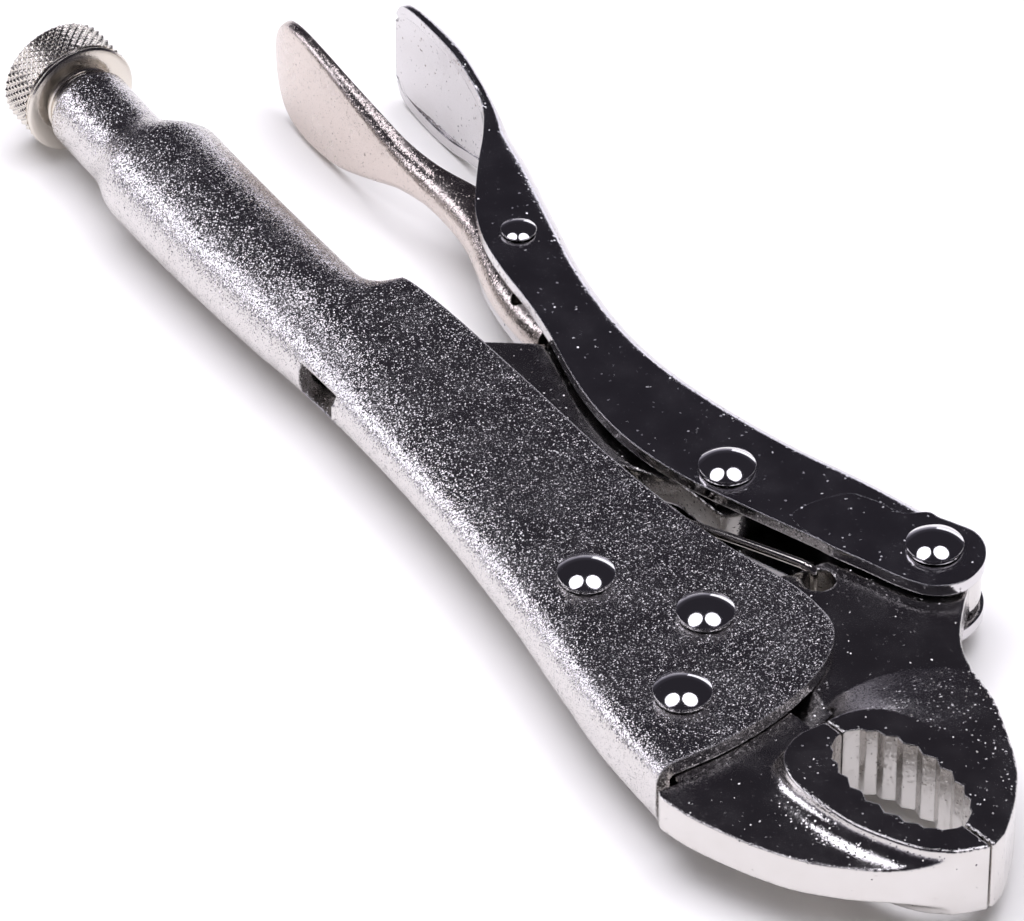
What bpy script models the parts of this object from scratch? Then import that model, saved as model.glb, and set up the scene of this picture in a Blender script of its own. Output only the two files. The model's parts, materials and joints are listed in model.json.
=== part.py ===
"""Locking pliers with curved jaws, closed and locked, lying on their side.

Each pressed, forged, turned or coiled piece is its own object. Sizes are in millimetres and are
turned into metres where a mesh is made. The tool is drawn round its jaw pivot: +X points from the
adjusting knob to the jaws, +Y from the fixed handle to the moving handle, and +Z along the rivets.
At the end everything is shifted so that the origin is the middle of the underside.
"""
from math import acos, atan2, cos, degrees, pi, radians, sin, sqrt

import bmesh
import bpy
from mathutils import Matrix, Vector

MM = 0.001

# ---- driving dimensions ---------------------------------------------------------------------
CLEAR = 0.25                       # gap between pieces that touch
SHEET = 2.5                        # steel of the pressed fixed handle
MOVING_SHEET = 2.0                 # steel of the pressed moving handle
MOVING_CORNER = 3.6                # outer radius along both edges of its back
LEVER_SHEET = 1.6                  # steel of the pressed release lever
JAW_THICKNESS = 6.4                # forged jaws where the handles clasp them
NOSE_THICKNESS = 12.8              # forged jaws round the mouth
LINK_THICKNESS = 5.0
SIDE_PLAY = 0.3                    # each side of the jaws, between the handle walls

FIXED_JAW_REAR_RIVET = (-16.8, -10.9)
FIXED_JAW_FRONT_RIVET = (13.7, -12.7)
JAW_PIVOT = (0.0, 0.0)
HANDLE_PIVOT = (5.0, 38.2)
TOGGLE_PIVOT = (-27.2, 21.1)
LEVER_PIVOT = (-94.4, 24.2)
SPRING_EYE = (-0.6, 20.9)          # hole in the moving jaw that takes the spring's hook
SPRING_EYE_RADIUS = 2.5

RIVET_HEAD_RADIUS = 4.5
RIVET_HEAD_HEIGHT = 2.1
RIVET_SHANK_RADIUS = 2.4
SMALL_HEAD_RADIUS = 2.9
SMALL_HEAD_HEIGHT = 1.1
SMALL_SHANK_RADIUS = 1.5

TUBE_LENGTH = 43.5                 # closed part of the fixed handle
SHOULDER_LENGTH = 8.0
NECK_LENGTH = 13.5
NECK_RADIUS = 7.2
TUBE_HALF_WIDTH = 9.2
TUBE_START_X = -100.0
TUBE_END_SPINE_Y = -24.3           # the tube's two extremes in Y where its shoulder begins
TUBE_END_EDGE_Y = -2.4
ROLL_LENGTH = 9.0                  # the channel rolls shut over this length in front of the tube
SCREW_AXIS_Y = -15.2
SEAM = 0.35                        # half of the slit where the rolled tube meets
CORNER_STEPS = 4                   # facets round each corner of a pressed channel
WALL_STEPS = 5

KNOB_RADIUS = 9.9
KNURL_LENGTH = 8.0
COLLAR_LENGTH = 2.2
HUB_RADIUS = 6.0
KNOB_STANDOFF = 1.6                # hub between the collar and the neck's rim
THREAD_PLAY = 0.3
NOSE_RADIUS = 3.1
NOSE_LENGTH = 7.0
TOGGLE_CLEARANCE = 3.5             # between the screw's nose and the link, where the loop is open

LINK_EYE_RADIUS = 6.8
LINK_END = (-96.0, SCREW_AXIS_Y)
LINK_END_RADIUS = 1.9

JAW_HUB_RADIUS = 10.5
JAW_EAR_RADIUS = 7.4
HUB_BACK_ANGLE = 138                # the hub stays round this far, so it turns clear of the fixed jaw
PARTING_GAP = 0.3                  # between the closed jaws
TOOTH_COUNT = 11
TOOTH_DEPTH = 0.9
FINE_TOOTH_COUNT = 4
FINE_TOOTH_DEPTH = 0.35

SPRING_WIRE_RADIUS = 0.75
SPRING_COIL_RADIUS = 2.3
SPRING_TURNS = 13
SPRING_LEG_LENGTH = 24.0           # straight wire from the jaw's hole to the first coil
HOOK_HALF_WIDTH = 2.4              # from the spring's axis to each leg of its rear hook
SPRING_TAB_HALF_THICKNESS = 0.8
SPRING_TAB_ROOT_X = -77.4
SPRING_TAB_REACH = (-6.0, 5.6)     # from its root to its tip
SPRING_TAB_FOOT = 1.4              # how far the root runs back into the spine
SPRING_SLOT_X = (-87.0, -77.0)
SPRING_SLOT_HALF_WIDTH = 2.9
HOOK_SETBACK = 2.1                 # from the tab's face to the rear hook's middle, less its wire

LEVER_HOLE = (-82.6, 17.6)         # small hole through both cheeks of the release lever
LEVER_HOLE_RADIUS = 1.7

# ---- what follows from them -----------------------------------------------------------------
JAW_HALF = JAW_THICKNESS / 2
INNER_HALF = JAW_HALF + SIDE_PLAY
HANDLE_HALF = INNER_HALF + SHEET
LEVER_HALF = HANDLE_HALF - MOVING_SHEET - CLEAR
SPRING_TAB_HALF_WIDTH = HOOK_HALF_WIDTH - CLEAR - SPRING_WIRE_RADIUS
LINK_HALF = min(LINK_THICKNESS / 2, INNER_HALF - CLEAR)
NOSE_HALF = NOSE_THICKNESS / 2
TUBE_END_X = TUBE_START_X - TUBE_LENGTH
NECK_START_X = TUBE_END_X - SHOULDER_LENGTH
NECK_END_X = NECK_START_X - NECK_LENGTH
SCREW_RADIUS = NECK_RADIUS - SHEET - THREAD_PLAY
SCREW_TIP_X = LINK_END[0] - LINK_END_RADIUS - TOGGLE_CLEARANCE
KNOB_FACE_X = NECK_END_X - KNOB_STANDOFF

# ---- outlines, each point chosen by hand ----------------------------------------------------
# spine of the fixed handle: x, y of its outer face, growth of half width, corner depth along Y
FIXED_SPINE = [
    (27.0, -24.9, 0.0, 3.2), (10.0, -25.1, 0.0, 4.4), (-4.0, -24.0, 0.0, 5.8),
    (-20.0, -22.1, 0.0, 7.4), (-40.0, -20.7, 0.0, 8.8), (-60.0, -20.2, 0.3, 9.6),
    (-76.0, -20.4, 0.9, 10.0), (-90.0, -21.1, 1.9, 10.3), (-100.0, -22.2, 2.9, 10.8),
]
# upper edge of the fixed handle's walls, from the tube to the top of the front curve
FIXED_EDGE = [
    (-100.0, -1.0), (-97.0, -0.3), (-93.0, 1.0), (-88.0, 2.4), (-82.0, 3.5), (-75.0, 4.4),
    (-60.0, 5.8), (-45.0, 6.8), (-30.0, 8.3), (-20.0, 9.8), (-10.0, 12.0), (0.0, 14.9),
    (5.0, 15.7), (9.0, 15.8),
]
FRONT_CURVE_CENTRE = (9.0, -21.0)  # the walls end in front in a quarter of an ellipse
FRONT_CURVE = (17.0, 36.8)

# back of the moving handle: x, y of its outer face, growth of half width
MOVING_SPINE = [
    (-153.5, 38.2, 1.0), (-152.0, 38.3, 3.4), (-149.0, 38.5, 4.4), (-143.0, 38.8, 4.8),
    (-136.0, 38.9, 4.4), (-130.0, 38.6, 2.8), (-124.0, 38.1, 0.9), (-118.0, 37.2, 0.1),
    (-110.0, 35.7, 0.0), (-96.0, 32.2, 0.0), (-82.0, 29.0, 0.0), (-68.0, 27.4, 0.0),
    (-56.0, 27.7, 0.0), (-42.0, 30.3, 0.0), (-28.0, 34.4, 0.0), (-14.0, 39.8, 0.0),
    (-2.4, 43.6, 0.0),
]
# lower edge of the moving handle's walls, from the tail to the ears
MOVING_EDGE = [
    (-153.5, 36.4), (-143.0, 36.4), (-130.0, 36.4), (-124.0, 35.4), (-119.0, 32.4),
    (-114.0, 28.6), (-108.0, 24.4), (-103.0, 21.3), (-96.0, 18.6), (-88.0, 17.1),
    (-78.0, 16.2), (-70.0, 15.0), (-60.0, 12.8), (-52.0, 11.7), (-44.0, 11.6), (-36.0, 12.7),
    (-28.0, 14.9), (-18.0, 18.9), (-8.0, 23.2), (-2.4, 25.6),
]
# one ear of the moving handle, past the end of its back
EAR_OUTLINE = [
    (-14.0, 20.8), (-6.0, 24.1), (2.0, 27.4), (8.0, 30.0), (12.2, 33.0), (13.9, 37.6),
    (12.2, 42.2), (8.8, 45.0), (5.2, 45.6), (2.0, 44.2), (-0.6, 42.8), (-3.4, 42.9),
    (-9.0, 40.9), (-14.0, 38.6),
]
# release lever: x, y of its lower face, half width, y of the top of its cheeks
LEVER_TRACK = [
    (-163.0, 18.8, 2.6, 20.5), (-161.6, 18.3, 5.8, 20.0), (-158.5, 17.6, 8.9, 19.4),
    (-154.0, 17.2, 10.4, 19.0), (-147.0, 17.1, 10.5, 18.9), (-140.0, 17.3, 9.4, 19.3),
    (-132.0, 18.1, 6.9, 20.6), (-125.0, 19.0, 4.6, 22.0), (-118.0, 19.7, LEVER_HALF, 23.6),
    (-110.0, 19.9, LEVER_HALF, 26.0), (-103.0, 19.2, LEVER_HALF, 27.6),
    (-94.4, 16.9, LEVER_HALF, 28.2), (-88.0, 15.4, LEVER_HALF, 25.2),
    (-81.0, 14.8, LEVER_HALF, 21.2), (-73.6, 15.0, LEVER_HALF, 18.6),
]
# toggle link between its two round ends
LINK_TOP = [
    (-36.0, 24.4), (-46.0, 21.2), (-58.0, 19.0), (-66.0, 18.0), (-70.4, 17.2), (-72.2, 14.8),
    (-77.6, 6.7), (-83.0, -1.2), (-90.0, -8.6), (-95.0, -12.2),
]
LINK_BOTTOM = [(-93.4, -17.0), (-84.0, -12.4), (-66.0, -3.4), (-46.0, 6.4), (-32.0, 15.2)]

# back of the moving jaw, from its ear to the nose, and the outside of the fixed jaw
MOVING_JAW_BACK = [
    (14.6, 37.6), (17.4, 35.2), (20.6, 32.7), (24.4, 30.7), (29.0, 29.4), (37.0, 27.8),
    (45.0, 24.8), (52.1, 21.7), (57.3, 18.2), (61.4, 14.6), (64.4, 11.4),
]
FIXED_JAW_BACK = [
    (28.6, -26.0), (34.0, -24.7), (40.0, -22.2), (46.0, -19.1), (51.0, -15.7), (55.2, -11.6),
    (59.2, -6.6), (62.6, -0.8), (64.8, 4.4),
]
NOSE_TIP = (65.8, 8.3)
MOUTH_CENTRE = (46.7, 4.7)
MOUTH_RADII = (13.3, 7.1)
MOUTH_TILT = radians(9.6)
CUTTER_REAR_X = 16.0
CUTTER_FRONT_X = 27.0
CUTTER_MIDDLE_X = 24.0
CUTTER_DEPTH = 2.3
CUTTER_HEIGHT = 4.8
# raised land round the mouth: its top edge, then how far its foot spreads at each point; the
# fixed jaw falls away in a short scoop and the moving jaw in a long gentle slope
LAND_OUTLINE = [
    (30.0, 1.5, 0.8), (30.4, -3.2, 1.4), (33.0, -7.2, 2.4), (38.0, -9.0, 4.2),
    (44.0, -8.5, 4.8), (51.0, -6.8, 4.8), (57.0, -3.8, 4.2), (61.2, -0.8, 3.2),
    (64.4, 3.0, 2.0), (69.0, 7.0, 0.6), (69.0, 12.0, 2.0), (63.0, 12.9, 10.0),
    (57.0, 15.2, 17.0), (50.0, 16.2, 22.0), (42.0, 15.5, 20.0), (36.0, 13.4, 15.0),
    (32.0, 10.2, 10.0), (30.2, 6.0, 6.0),
]


# ---- curves through chosen points -----------------------------------------------------------
def track(rows, x, column):
    """Value of a column at x, along a smooth curve through the rows; x may rise or fall."""
    rows = sorted(rows)
    if x <= rows[0][0]:
        return rows[0][column]
    if x >= rows[-1][0]:
        return rows[-1][column]
    i = max(k for k in range(len(rows) - 1) if rows[k][0] <= x)

    def slope(k):
        lo, hi = max(k - 1, 0), min(k + 1, len(rows) - 1)
        return (rows[hi][column] - rows[lo][column]) / (rows[hi][0] - rows[lo][0])

    span = rows[i + 1][0] - rows[i][0]
    t = (x - rows[i][0]) / span
    rise, out, back = rows[i + 1][column] - rows[i][column], slope(i) * span, slope(i + 1) * span
    return rows[i][column] + t * out + t * t * (3 * rise - 2 * out - back) \
        + t * t * t * (out + back - 2 * rise)


def smooth(points, steps=3):
    """Points along a smooth open curve through the given ones."""
    result = []
    for i in range(len(points) - 1):
        p0, p1 = points[max(i - 1, 0)], points[i]
        p2, p3 = points[i + 1], points[min(i + 2, len(points) - 1)]
        for k in range(steps):
            t = k / steps
            result.append(tuple(
                0.5 * (2 * b + (c - a) * t + (2 * a - 5 * b + 4 * c - d) * t * t
                       + (3 * b - a - 3 * c + d) * t ** 3)
                for a, b, c, d in zip(p0, p1, p2, p3)))
    return result + [tuple(points[-1])]


def arc(centre, radius, start, end, steps):
    """Points of an arc, angles in degrees."""
    angles = [radians(start + (end - start) * k / steps) for k in range(steps + 1)]
    return [(centre[0] + radius * cos(a), centre[1] + radius * sin(a)) for a in angles]


def lerp(a, b, t):
    return a + (b - a) * t


# ---- making objects -------------------------------------------------------------------------
def material(name, colour, roughness):
    """Nickel-plated steel in one of its finishes."""
    mat = bpy.data.materials.get(name) or bpy.data.materials.new(name)
    mat.use_nodes = True
    shader = mat.node_tree.nodes["Principled BSDF"]
    shader.inputs["Base Color"].default_value = (*colour, 1.0)
    shader.inputs["Metallic"].default_value = 1.0
    shader.inputs["Roughness"].default_value = roughness
    return mat


def finish(key):
    """The finish of a piece, by the way it was made."""
    table = {
        "pressed": ("pressed_nickel", (0.66, 0.65, 0.64), 0.32),
        "smooth": ("smooth_nickel", (0.68, 0.67, 0.66), 0.22),
        "forged": ("forged_nickel", (0.66, 0.65, 0.63), 0.26),
        "rivet": ("rivet_nickel", (0.74, 0.73, 0.71), 0.12),
        "turned": ("turned_nickel", (0.70, 0.68, 0.64), 0.24),
        "wire": ("wire_nickel", (0.66, 0.64, 0.60), 0.20),
    }
    return material(*table[key])


def add_object(name, mesh):
    obj = bpy.data.objects.new(name, mesh)
    PARTS.objects.link(obj)
    return obj


def mesh_from(bm, name):
    mesh = bpy.data.meshes.new(name)
    bm.to_mesh(mesh)
    bm.free()
    return mesh


def baked(obj):
    """The object with its modifiers or its curve turned into one plain welded mesh."""
    bpy.context.view_layer.update()
    graph = bpy.context.evaluated_depsgraph_get()
    mesh = bpy.data.meshes.new_from_object(obj.evaluated_get(graph))
    name, matrix = obj.name, obj.matrix_world.copy()
    bpy.data.objects.remove(obj)
    bm = bmesh.new()
    bm.from_mesh(mesh)
    bmesh.ops.remove_doubles(bm, verts=bm.verts, dist=1e-7)
    bm.to_mesh(mesh)
    bm.free()
    mesh.transform(matrix)
    return add_object(name, mesh)


def combine(obj, other, operation):
    """Boolean of two solids; the second one is used up."""
    step = obj.modifiers.new(operation.lower(), "BOOLEAN")
    step.operation = operation
    step.object = other
    result = baked(obj)
    bpy.data.objects.remove(other)
    return result


def plate(name, outline, half, holes=(), centre_z=0.0):
    """Flat outline with round holes, extruded by half its thickness each way."""
    curve = bpy.data.curves.new(name, "CURVE")
    curve.dimensions = "2D"
    curve.fill_mode = "BOTH"
    curve.extrude = half * MM
    rings = [outline] + [arc(centre, radius, 0, 360 * 23 / 24, 23) for centre, radius in holes]
    for ring in rings:
        spline = curve.splines.new("POLY")
        spline.points.add(len(ring) - 1)
        for point, (x, y) in zip(spline.points, ring):
            point.co = (x * MM, y * MM, 0.0, 1.0)
        spline.use_cyclic_u = True
    obj = add_object(name, curve)
    obj.location.z = centre_z * MM
    return baked(obj)


def drill(name, centre, radius):
    """Round cutter along Z."""
    bpy.ops.mesh.primitive_cylinder_add(
        vertices=24, radius=radius * MM, depth=60 * MM,
        location=(centre[0] * MM, centre[1] * MM, 0))
    tool = bpy.context.object
    tool.name = name + "_drill"
    return tool


def block(name, low, high, turn=0.0):
    """Box between two corners, turned about its own middle round X."""
    middle = [(a + b) / 2 * MM for a, b in zip(low, high)]
    bpy.ops.mesh.primitive_cube_add(size=1, location=middle, rotation=(turn, 0, 0))
    box = bpy.context.object
    box.name = name
    box.scale = [(b - a) * MM for a, b in zip(low, high)]
    return box


def pressed(name, sections, thickness, opens_down=False):
    """Sheet bent to half sections (x, [(y, z), ...]) of its outer face, from the middle plane out.

    opens_down is for a channel whose back is its upper side in Y.
    """
    bm = bmesh.new()
    rows = [[bm.verts.new((x * MM, y * MM, z * MM)) for y, z in section]
            for x, section in sections]
    for low, high in zip(rows, rows[1:]):
        for k in range(len(low) - 1):
            bm.faces.new((low[k], low[k + 1], high[k + 1], high[k]))
    obj = add_object(name, mesh_from(bm, name))
    mirror = obj.modifiers.new("other_half", "MIRROR")
    mirror.use_axis = (False, False, True)
    mirror.merge_threshold = 1e-6
    sheet = obj.modifiers.new("sheet", "SOLIDIFY")
    sheet.thickness = thickness * MM
    sheet.offset = -1.0 if opens_down else 1.0
    sheet.use_even_offset = True
    return baked(obj)


def turned(name, profile, steps=32):
    """Round piece along Z from (radius, z) pairs that run down its outer side."""
    bm = bmesh.new()
    verts = [bm.verts.new((r * MM, 0.0, z * MM)) for r, z in profile]
    for a, b in zip(verts, verts[1:]):
        bm.edges.new((a, b))
    obj = add_object(name, mesh_from(bm, name))
    screw = obj.modifiers.new("turn", "SCREW")
    screw.steps = screw.render_steps = steps
    screw.use_merge_vertices = True
    screw.merge_threshold = 1e-6
    return baked(obj)


def wire(name, points, radius):
    """Round wire along a list of points in space."""
    curve = bpy.data.curves.new(name, "CURVE")
    curve.dimensions = "3D"
    curve.bevel_depth = radius * MM
    curve.bevel_resolution = 2
    curve.use_fill_caps = True
    spline = curve.splines.new("POLY")
    spline.points.add(len(points) - 1)
    for point, (x, y, z) in zip(spline.points, points):
        point.co = (x * MM, y * MM, z * MM, 1.0)
    return baked(add_object(name, curve))


def hinge_at(obj, pivot):
    """Puts the object's origin on its joint axis without moving it."""
    offset = Vector((pivot[0] * MM, pivot[1] * MM, 0.0))
    obj.data.transform(Matrix.Translation(-offset))
    obj.location = offset


def dress(obj, key):
    """Finish, and smooth shading with sharp edges kept."""
    obj.data.materials.clear()
    obj.data.materials.append(finish(key))
    obj.data.shade_smooth()
    obj.data.set_sharp_from_angle(angle=radians(32))
    return obj


# ---- fixed handle ---------------------------------------------------------------------------
def fixed_spine(x):
    """y of the spine's outer face, half width and corner depth at x, for the open channel."""
    half = HANDLE_HALF + track(FIXED_SPINE, x, 2)
    return track(FIXED_SPINE, x, 1), half, track(FIXED_SPINE, x, 3)


def open_section(base, edge, half, corner_y, side):
    """Half of a channel: flat base, round corner, wall up to its edge."""
    corner_z = min(half - 0.5, abs(corner_y))
    points = [(base, 0.0)]
    for k in range(CORNER_STEPS + 1):
        a = k / CORNER_STEPS * pi / 2
        points.append((base + side * corner_y * (1 - cos(a)), half - corner_z * (1 - sin(a))))
    start = points[-1][0]
    return points + [(lerp(start, edge, k / WALL_STEPS), half) for k in range(1, WALL_STEPS + 1)]


def round_section(base, edge, half):
    """Half of a tube that is rolled shut, with as many points as the open section."""
    middle, radius = (base + edge) / 2, (edge - base) / 2
    points = [(base, 0.0)]
    last = pi - SEAM / half
    count = CORNER_STEPS + 1 + WALL_STEPS
    for k in range(1, count + 1):
        a = last * k / count
        points.append((middle - radius * cos(a), half * sin(a)))
    return points


def fixed_front_edge(x):
    """Upper edge of the walls at x."""
    cx, cy = FRONT_CURVE_CENTRE
    if x <= cx:
        return track(FIXED_EDGE, x, 1)
    return cy + FRONT_CURVE[1] * sqrt(max(0.0, 1 - ((x - cx) / FRONT_CURVE[0]) ** 2))


def tube_outline(x):
    """Spine, upper edge and half width of the closed part at x."""
    neck = (SCREW_AXIS_Y - NECK_RADIUS, SCREW_AXIS_Y + NECK_RADIUS, NECK_RADIUS)
    if x <= NECK_START_X:
        return neck
    start = (track(FIXED_SPINE, TUBE_START_X, 1), FIXED_EDGE[0][1], HANDLE_HALF + FIXED_SPINE[-1][2])
    end = (TUBE_END_SPINE_Y, TUBE_END_EDGE_Y, TUBE_HALF_WIDTH)
    if x >= TUBE_END_X:
        t = (TUBE_START_X - x) / TUBE_LENGTH
        return tuple(lerp(a, b, sin(t * pi / 2)) for a, b in zip(start, end))
    t = (TUBE_END_X - x) / SHOULDER_LENGTH
    t = t * t * (3 - 2 * t)
    return tuple(lerp(a, b, t) for a, b in zip(end, neck))


def fixed_section(x):
    """Half section of the fixed handle: a tube behind, an open channel in front."""
    if x <= TUBE_START_X:
        return round_section(*tube_outline(x))
    spine, half, corner = fixed_spine(x)
    channel = open_section(spine, fixed_front_edge(x), half, corner, 1)
    t = max(0.0, (TUBE_START_X + ROLL_LENGTH - x) / ROLL_LENGTH)
    shut = t * t * (3 - 2 * t)
    rolled = round_section(spine, fixed_front_edge(x), half)
    return [tuple(lerp(a, b, shut) for a, b in zip(p, q)) for p, q in zip(channel, rolled)]


def fixed_stations():
    """Where the fixed handle's sections lie, from the neck's rim to the end of the front curve."""
    xs = [NECK_END_X, lerp(NECK_END_X, NECK_START_X, 0.5), NECK_START_X]
    xs += [NECK_START_X + SHOULDER_LENGTH * k / 5 for k in range(1, 6)]
    xs += [TUBE_END_X + TUBE_LENGTH * k / 5 for k in range(1, 6)]
    xs += [TUBE_START_X + ROLL_LENGTH * k / 6 for k in range(1, 7)]
    xs += [-86.0, -80.0, -72.0, -64.0, -54.0, -44.0, -34.0, -24.0, -16.0, -8.0, -1.0, 4.0]
    quarter = [radians(a) for a in (0, 15, 30, 42, 53, 63, 72, 80)]
    return xs + [FRONT_CURVE_CENTRE[0] + FRONT_CURVE[0] * sin(a) for a in quarter]


def spring_tab_line():
    """Root and tip of the tab that is lanced out of the spine for the spring's rear hook."""
    root = (SPRING_TAB_ROOT_X, track(FIXED_SPINE, SPRING_TAB_ROOT_X, 1) + SHEET / 2)
    return root, (root[0] + SPRING_TAB_REACH[0], root[1] + SPRING_TAB_REACH[1])


def make_fixed_handle():
    sections = [(x, fixed_section(x)) for x in fixed_stations()]
    handle = pressed("fixed_handle", sections, SHEET)
    rear_x, front_x = SPRING_SLOT_X
    spine = track(FIXED_SPINE, (rear_x + front_x) / 2, 1)
    slot = block("slot", (rear_x, spine - 6, -SPRING_SLOT_HALF_WIDTH),
                 (front_x, spine + SHEET + 3, SPRING_SLOT_HALF_WIDTH))
    handle = combine(handle, slot, "DIFFERENCE")
    root, tip = spring_tab_line()
    along = Vector((tip[0] - root[0], tip[1] - root[1])).normalized()
    across = Vector((-along.y, along.x)) * SPRING_TAB_HALF_THICKNESS
    foot = Vector(root) - along * SPRING_TAB_FOOT
    corners = [foot + across, Vector(tip) + across, Vector(tip) - across, foot - across]
    tab = plate("tab", [tuple(c) for c in corners], SPRING_TAB_HALF_WIDTH)
    handle = combine(handle, tab, "UNION")
    for centre in (FIXED_JAW_REAR_RIVET, FIXED_JAW_FRONT_RIVET, JAW_PIVOT):
        handle = combine(handle, drill("hole", centre, RIVET_SHANK_RADIUS + CLEAR), "DIFFERENCE")
    return dress(handle, "pressed")


# ---- moving handle and release lever --------------------------------------------------------
def make_moving_handle():
    xs = [row[0] for row in MOVING_SPINE]
    xs = sorted(set(xs + [row[0] for row in MOVING_EDGE if row[0] > -125.0]))
    sections = []
    for x in xs:
        base = track(MOVING_SPINE, x, 1)
        half = HANDLE_HALF + track(MOVING_SPINE, x, 2)
        sections.append((x, open_section(base, track(MOVING_EDGE, x, 1), half,
                                         min(MOVING_CORNER, (base - track(MOVING_EDGE, x, 1)) * 0.7),
                                         -1)))
    handle = pressed("moving_handle", sections, MOVING_SHEET, opens_down=True)
    middle = HANDLE_HALF - MOVING_SHEET / 2
    for side in (-1, 1):
        ear = plate("ear", smooth(EAR_OUTLINE + EAR_OUTLINE[:1], 2)[:-1], MOVING_SHEET / 2 + 0.02,
                    centre_z=side * middle)
        handle = combine(handle, ear, "UNION")
    for centre, radius in ((HANDLE_PIVOT, RIVET_SHANK_RADIUS), (TOGGLE_PIVOT, RIVET_SHANK_RADIUS),
                           (LEVER_PIVOT, SMALL_SHANK_RADIUS)):
        handle = combine(handle, drill("hole", centre, radius + CLEAR), "DIFFERENCE")
    hinge_at(handle, HANDLE_PIVOT)
    return dress(handle, "smooth")


def make_release_lever():
    sections = []
    for x, base, half, edge in LEVER_TRACK:
        corner = min(LEVER_HALF - 0.4, (edge - base) * 0.8)
        sections.append((x, open_section(base, edge, half, corner, 1)))
    lever = pressed("release_lever", sections, LEVER_SHEET)
    lever = combine(lever, drill("hole", LEVER_PIVOT, SMALL_SHANK_RADIUS + CLEAR), "DIFFERENCE")
    lever = combine(lever, drill("hole", LEVER_HOLE, LEVER_HOLE_RADIUS), "DIFFERENCE")
    hinge_at(lever, LEVER_PIVOT)
    return dress(lever, "pressed")


# ---- toggle link ----------------------------------------------------------------------------
def make_toggle_link():
    outline = smooth(LINK_TOP, 2) + arc(LINK_END, LINK_END_RADIUS, 100, 310, 8)
    outline += smooth(LINK_BOTTOM, 2) + arc(TOGGLE_PIVOT, LINK_EYE_RADIUS, -40, 130, 9)
    holes = [(TOGGLE_PIVOT, RIVET_SHANK_RADIUS + CLEAR)]
    link = plate("toggle_link", outline, LINK_HALF, holes)
    hinge_at(link, TOGGLE_PIVOT)
    return dress(link, "forged")


# ---- jaws -----------------------------------------------------------------------------------
def parting(x):
    """y of the line where the closed jaws meet."""
    return NOSE_TIP[1] + (x - NOSE_TIP[0]) * sin(MOUTH_TILT)


def mouth_edge(side):
    """Toothed half of the oval mouth from its rear end to its front end; side 1 is the top."""
    points = []
    count = 2 * TOOTH_COUNT
    for k in range(count + 1):
        a = pi * (1 - k / count)
        scale = 1.0 if k % 2 else 1.0 - TOOTH_DEPTH / MOUTH_RADII[1]
        if k in (0, count):
            scale = 1.0
        u = MOUTH_RADII[0] * cos(a)
        v = side * max(MOUTH_RADII[1] * scale * sin(a), PARTING_GAP / 2)
        points.append((MOUTH_CENTRE[0] + u * cos(MOUTH_TILT) - v * sin(MOUTH_TILT),
                       MOUTH_CENTRE[1] + u * sin(MOUTH_TILT) + v * cos(MOUTH_TILT)))
    return points


def fine_edge(side):
    """Fine teeth between the mouth and the nose, matching on both jaws."""
    start = mouth_edge(side)[-1][0]
    points = []
    for k in range(1, 2 * FINE_TOOTH_COUNT + 1):
        x = lerp(start, NOSE_TIP[0] - 0.4, k / (2 * FINE_TOOTH_COUNT))
        wave = FINE_TOOTH_DEPTH / 2 if k % 2 else -FINE_TOOTH_DEPTH / 2
        points.append((x, parting(x) + wave + side * PARTING_GAP / 2))
    return points


def jaw_floor(x):
    """Lowest y a jaw may have inside the fixed handle's round-cornered channel."""
    spine, half, corner = fixed_spine(x)
    corner_z = min(half - 0.5, corner)
    rise_z, rise_y = corner_z - SHEET, corner - SHEET
    reach = min(0.98, max(0.0, (JAW_HALF - (half - corner_z)) / rise_z))
    return spine + SHEET + rise_y * (1 - sqrt(1 - reach * reach)) + 2 * CLEAR


def jaw_face_limits():
    """Slab of the shank with the raised land round the mouth, on both faces."""
    bm = bmesh.new()
    top = smooth([(x, y, s) for x, y, s in LAND_OUTLINE + LAND_OUTLINE[:1]], 2)[:-1]
    cx, cy = MOUTH_CENTRE
    rings = []
    knee = lerp(JAW_HALF, NOSE_HALF, 0.3)
    levels = ((-NOSE_HALF, 0.0, 0.0), (-knee, 0.5, 0.7), (-JAW_HALF, 1.0, 1.0),
              (-JAW_HALF + 0.4, 1.0, 1.0), (JAW_HALF - 0.4, 1.0, 1.0), (JAW_HALF, 1.0, 1.0),
              (knee, 0.5, 0.7), (NOSE_HALF, 0.0, 0.0))
    for z, scooped, sloped in levels:
        ring = []
        for x, y, s in top:
            spread = sloped if y > parting(x) else scooped
            away = Vector((x - cx, y - cy)).normalized() * s * spread
            ring.append(bm.verts.new(((x + away.x) * MM, (y + away.y) * MM, z * MM)))
        rings.append(ring)
    for low, high in zip(rings, rings[1:]):
        for k in range(len(low)):
            n = (k + 1) % len(low)
            bm.faces.new((low[k], low[n], high[n], high[k]))
    bm.faces.new(rings[-1])
    bm.faces.new(rings[0])
    bmesh.ops.recalc_face_normals(bm, faces=bm.faces)
    land = add_object("land", mesh_from(bm, "land"))
    slab = block("slab", (-60, -60, -JAW_HALF), (100, 80, JAW_HALF))
    PARTS.objects.link(slab)
    return combine(baked(slab), land, "UNION")


def forge(name, outline, holes):
    """Jaw outline with its holes, cut down to the shank and the land round the mouth."""
    blank = plate(name, outline, NOSE_HALF + 1.0, holes)
    return combine(blank, jaw_face_limits(), "INTERSECT")


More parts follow.
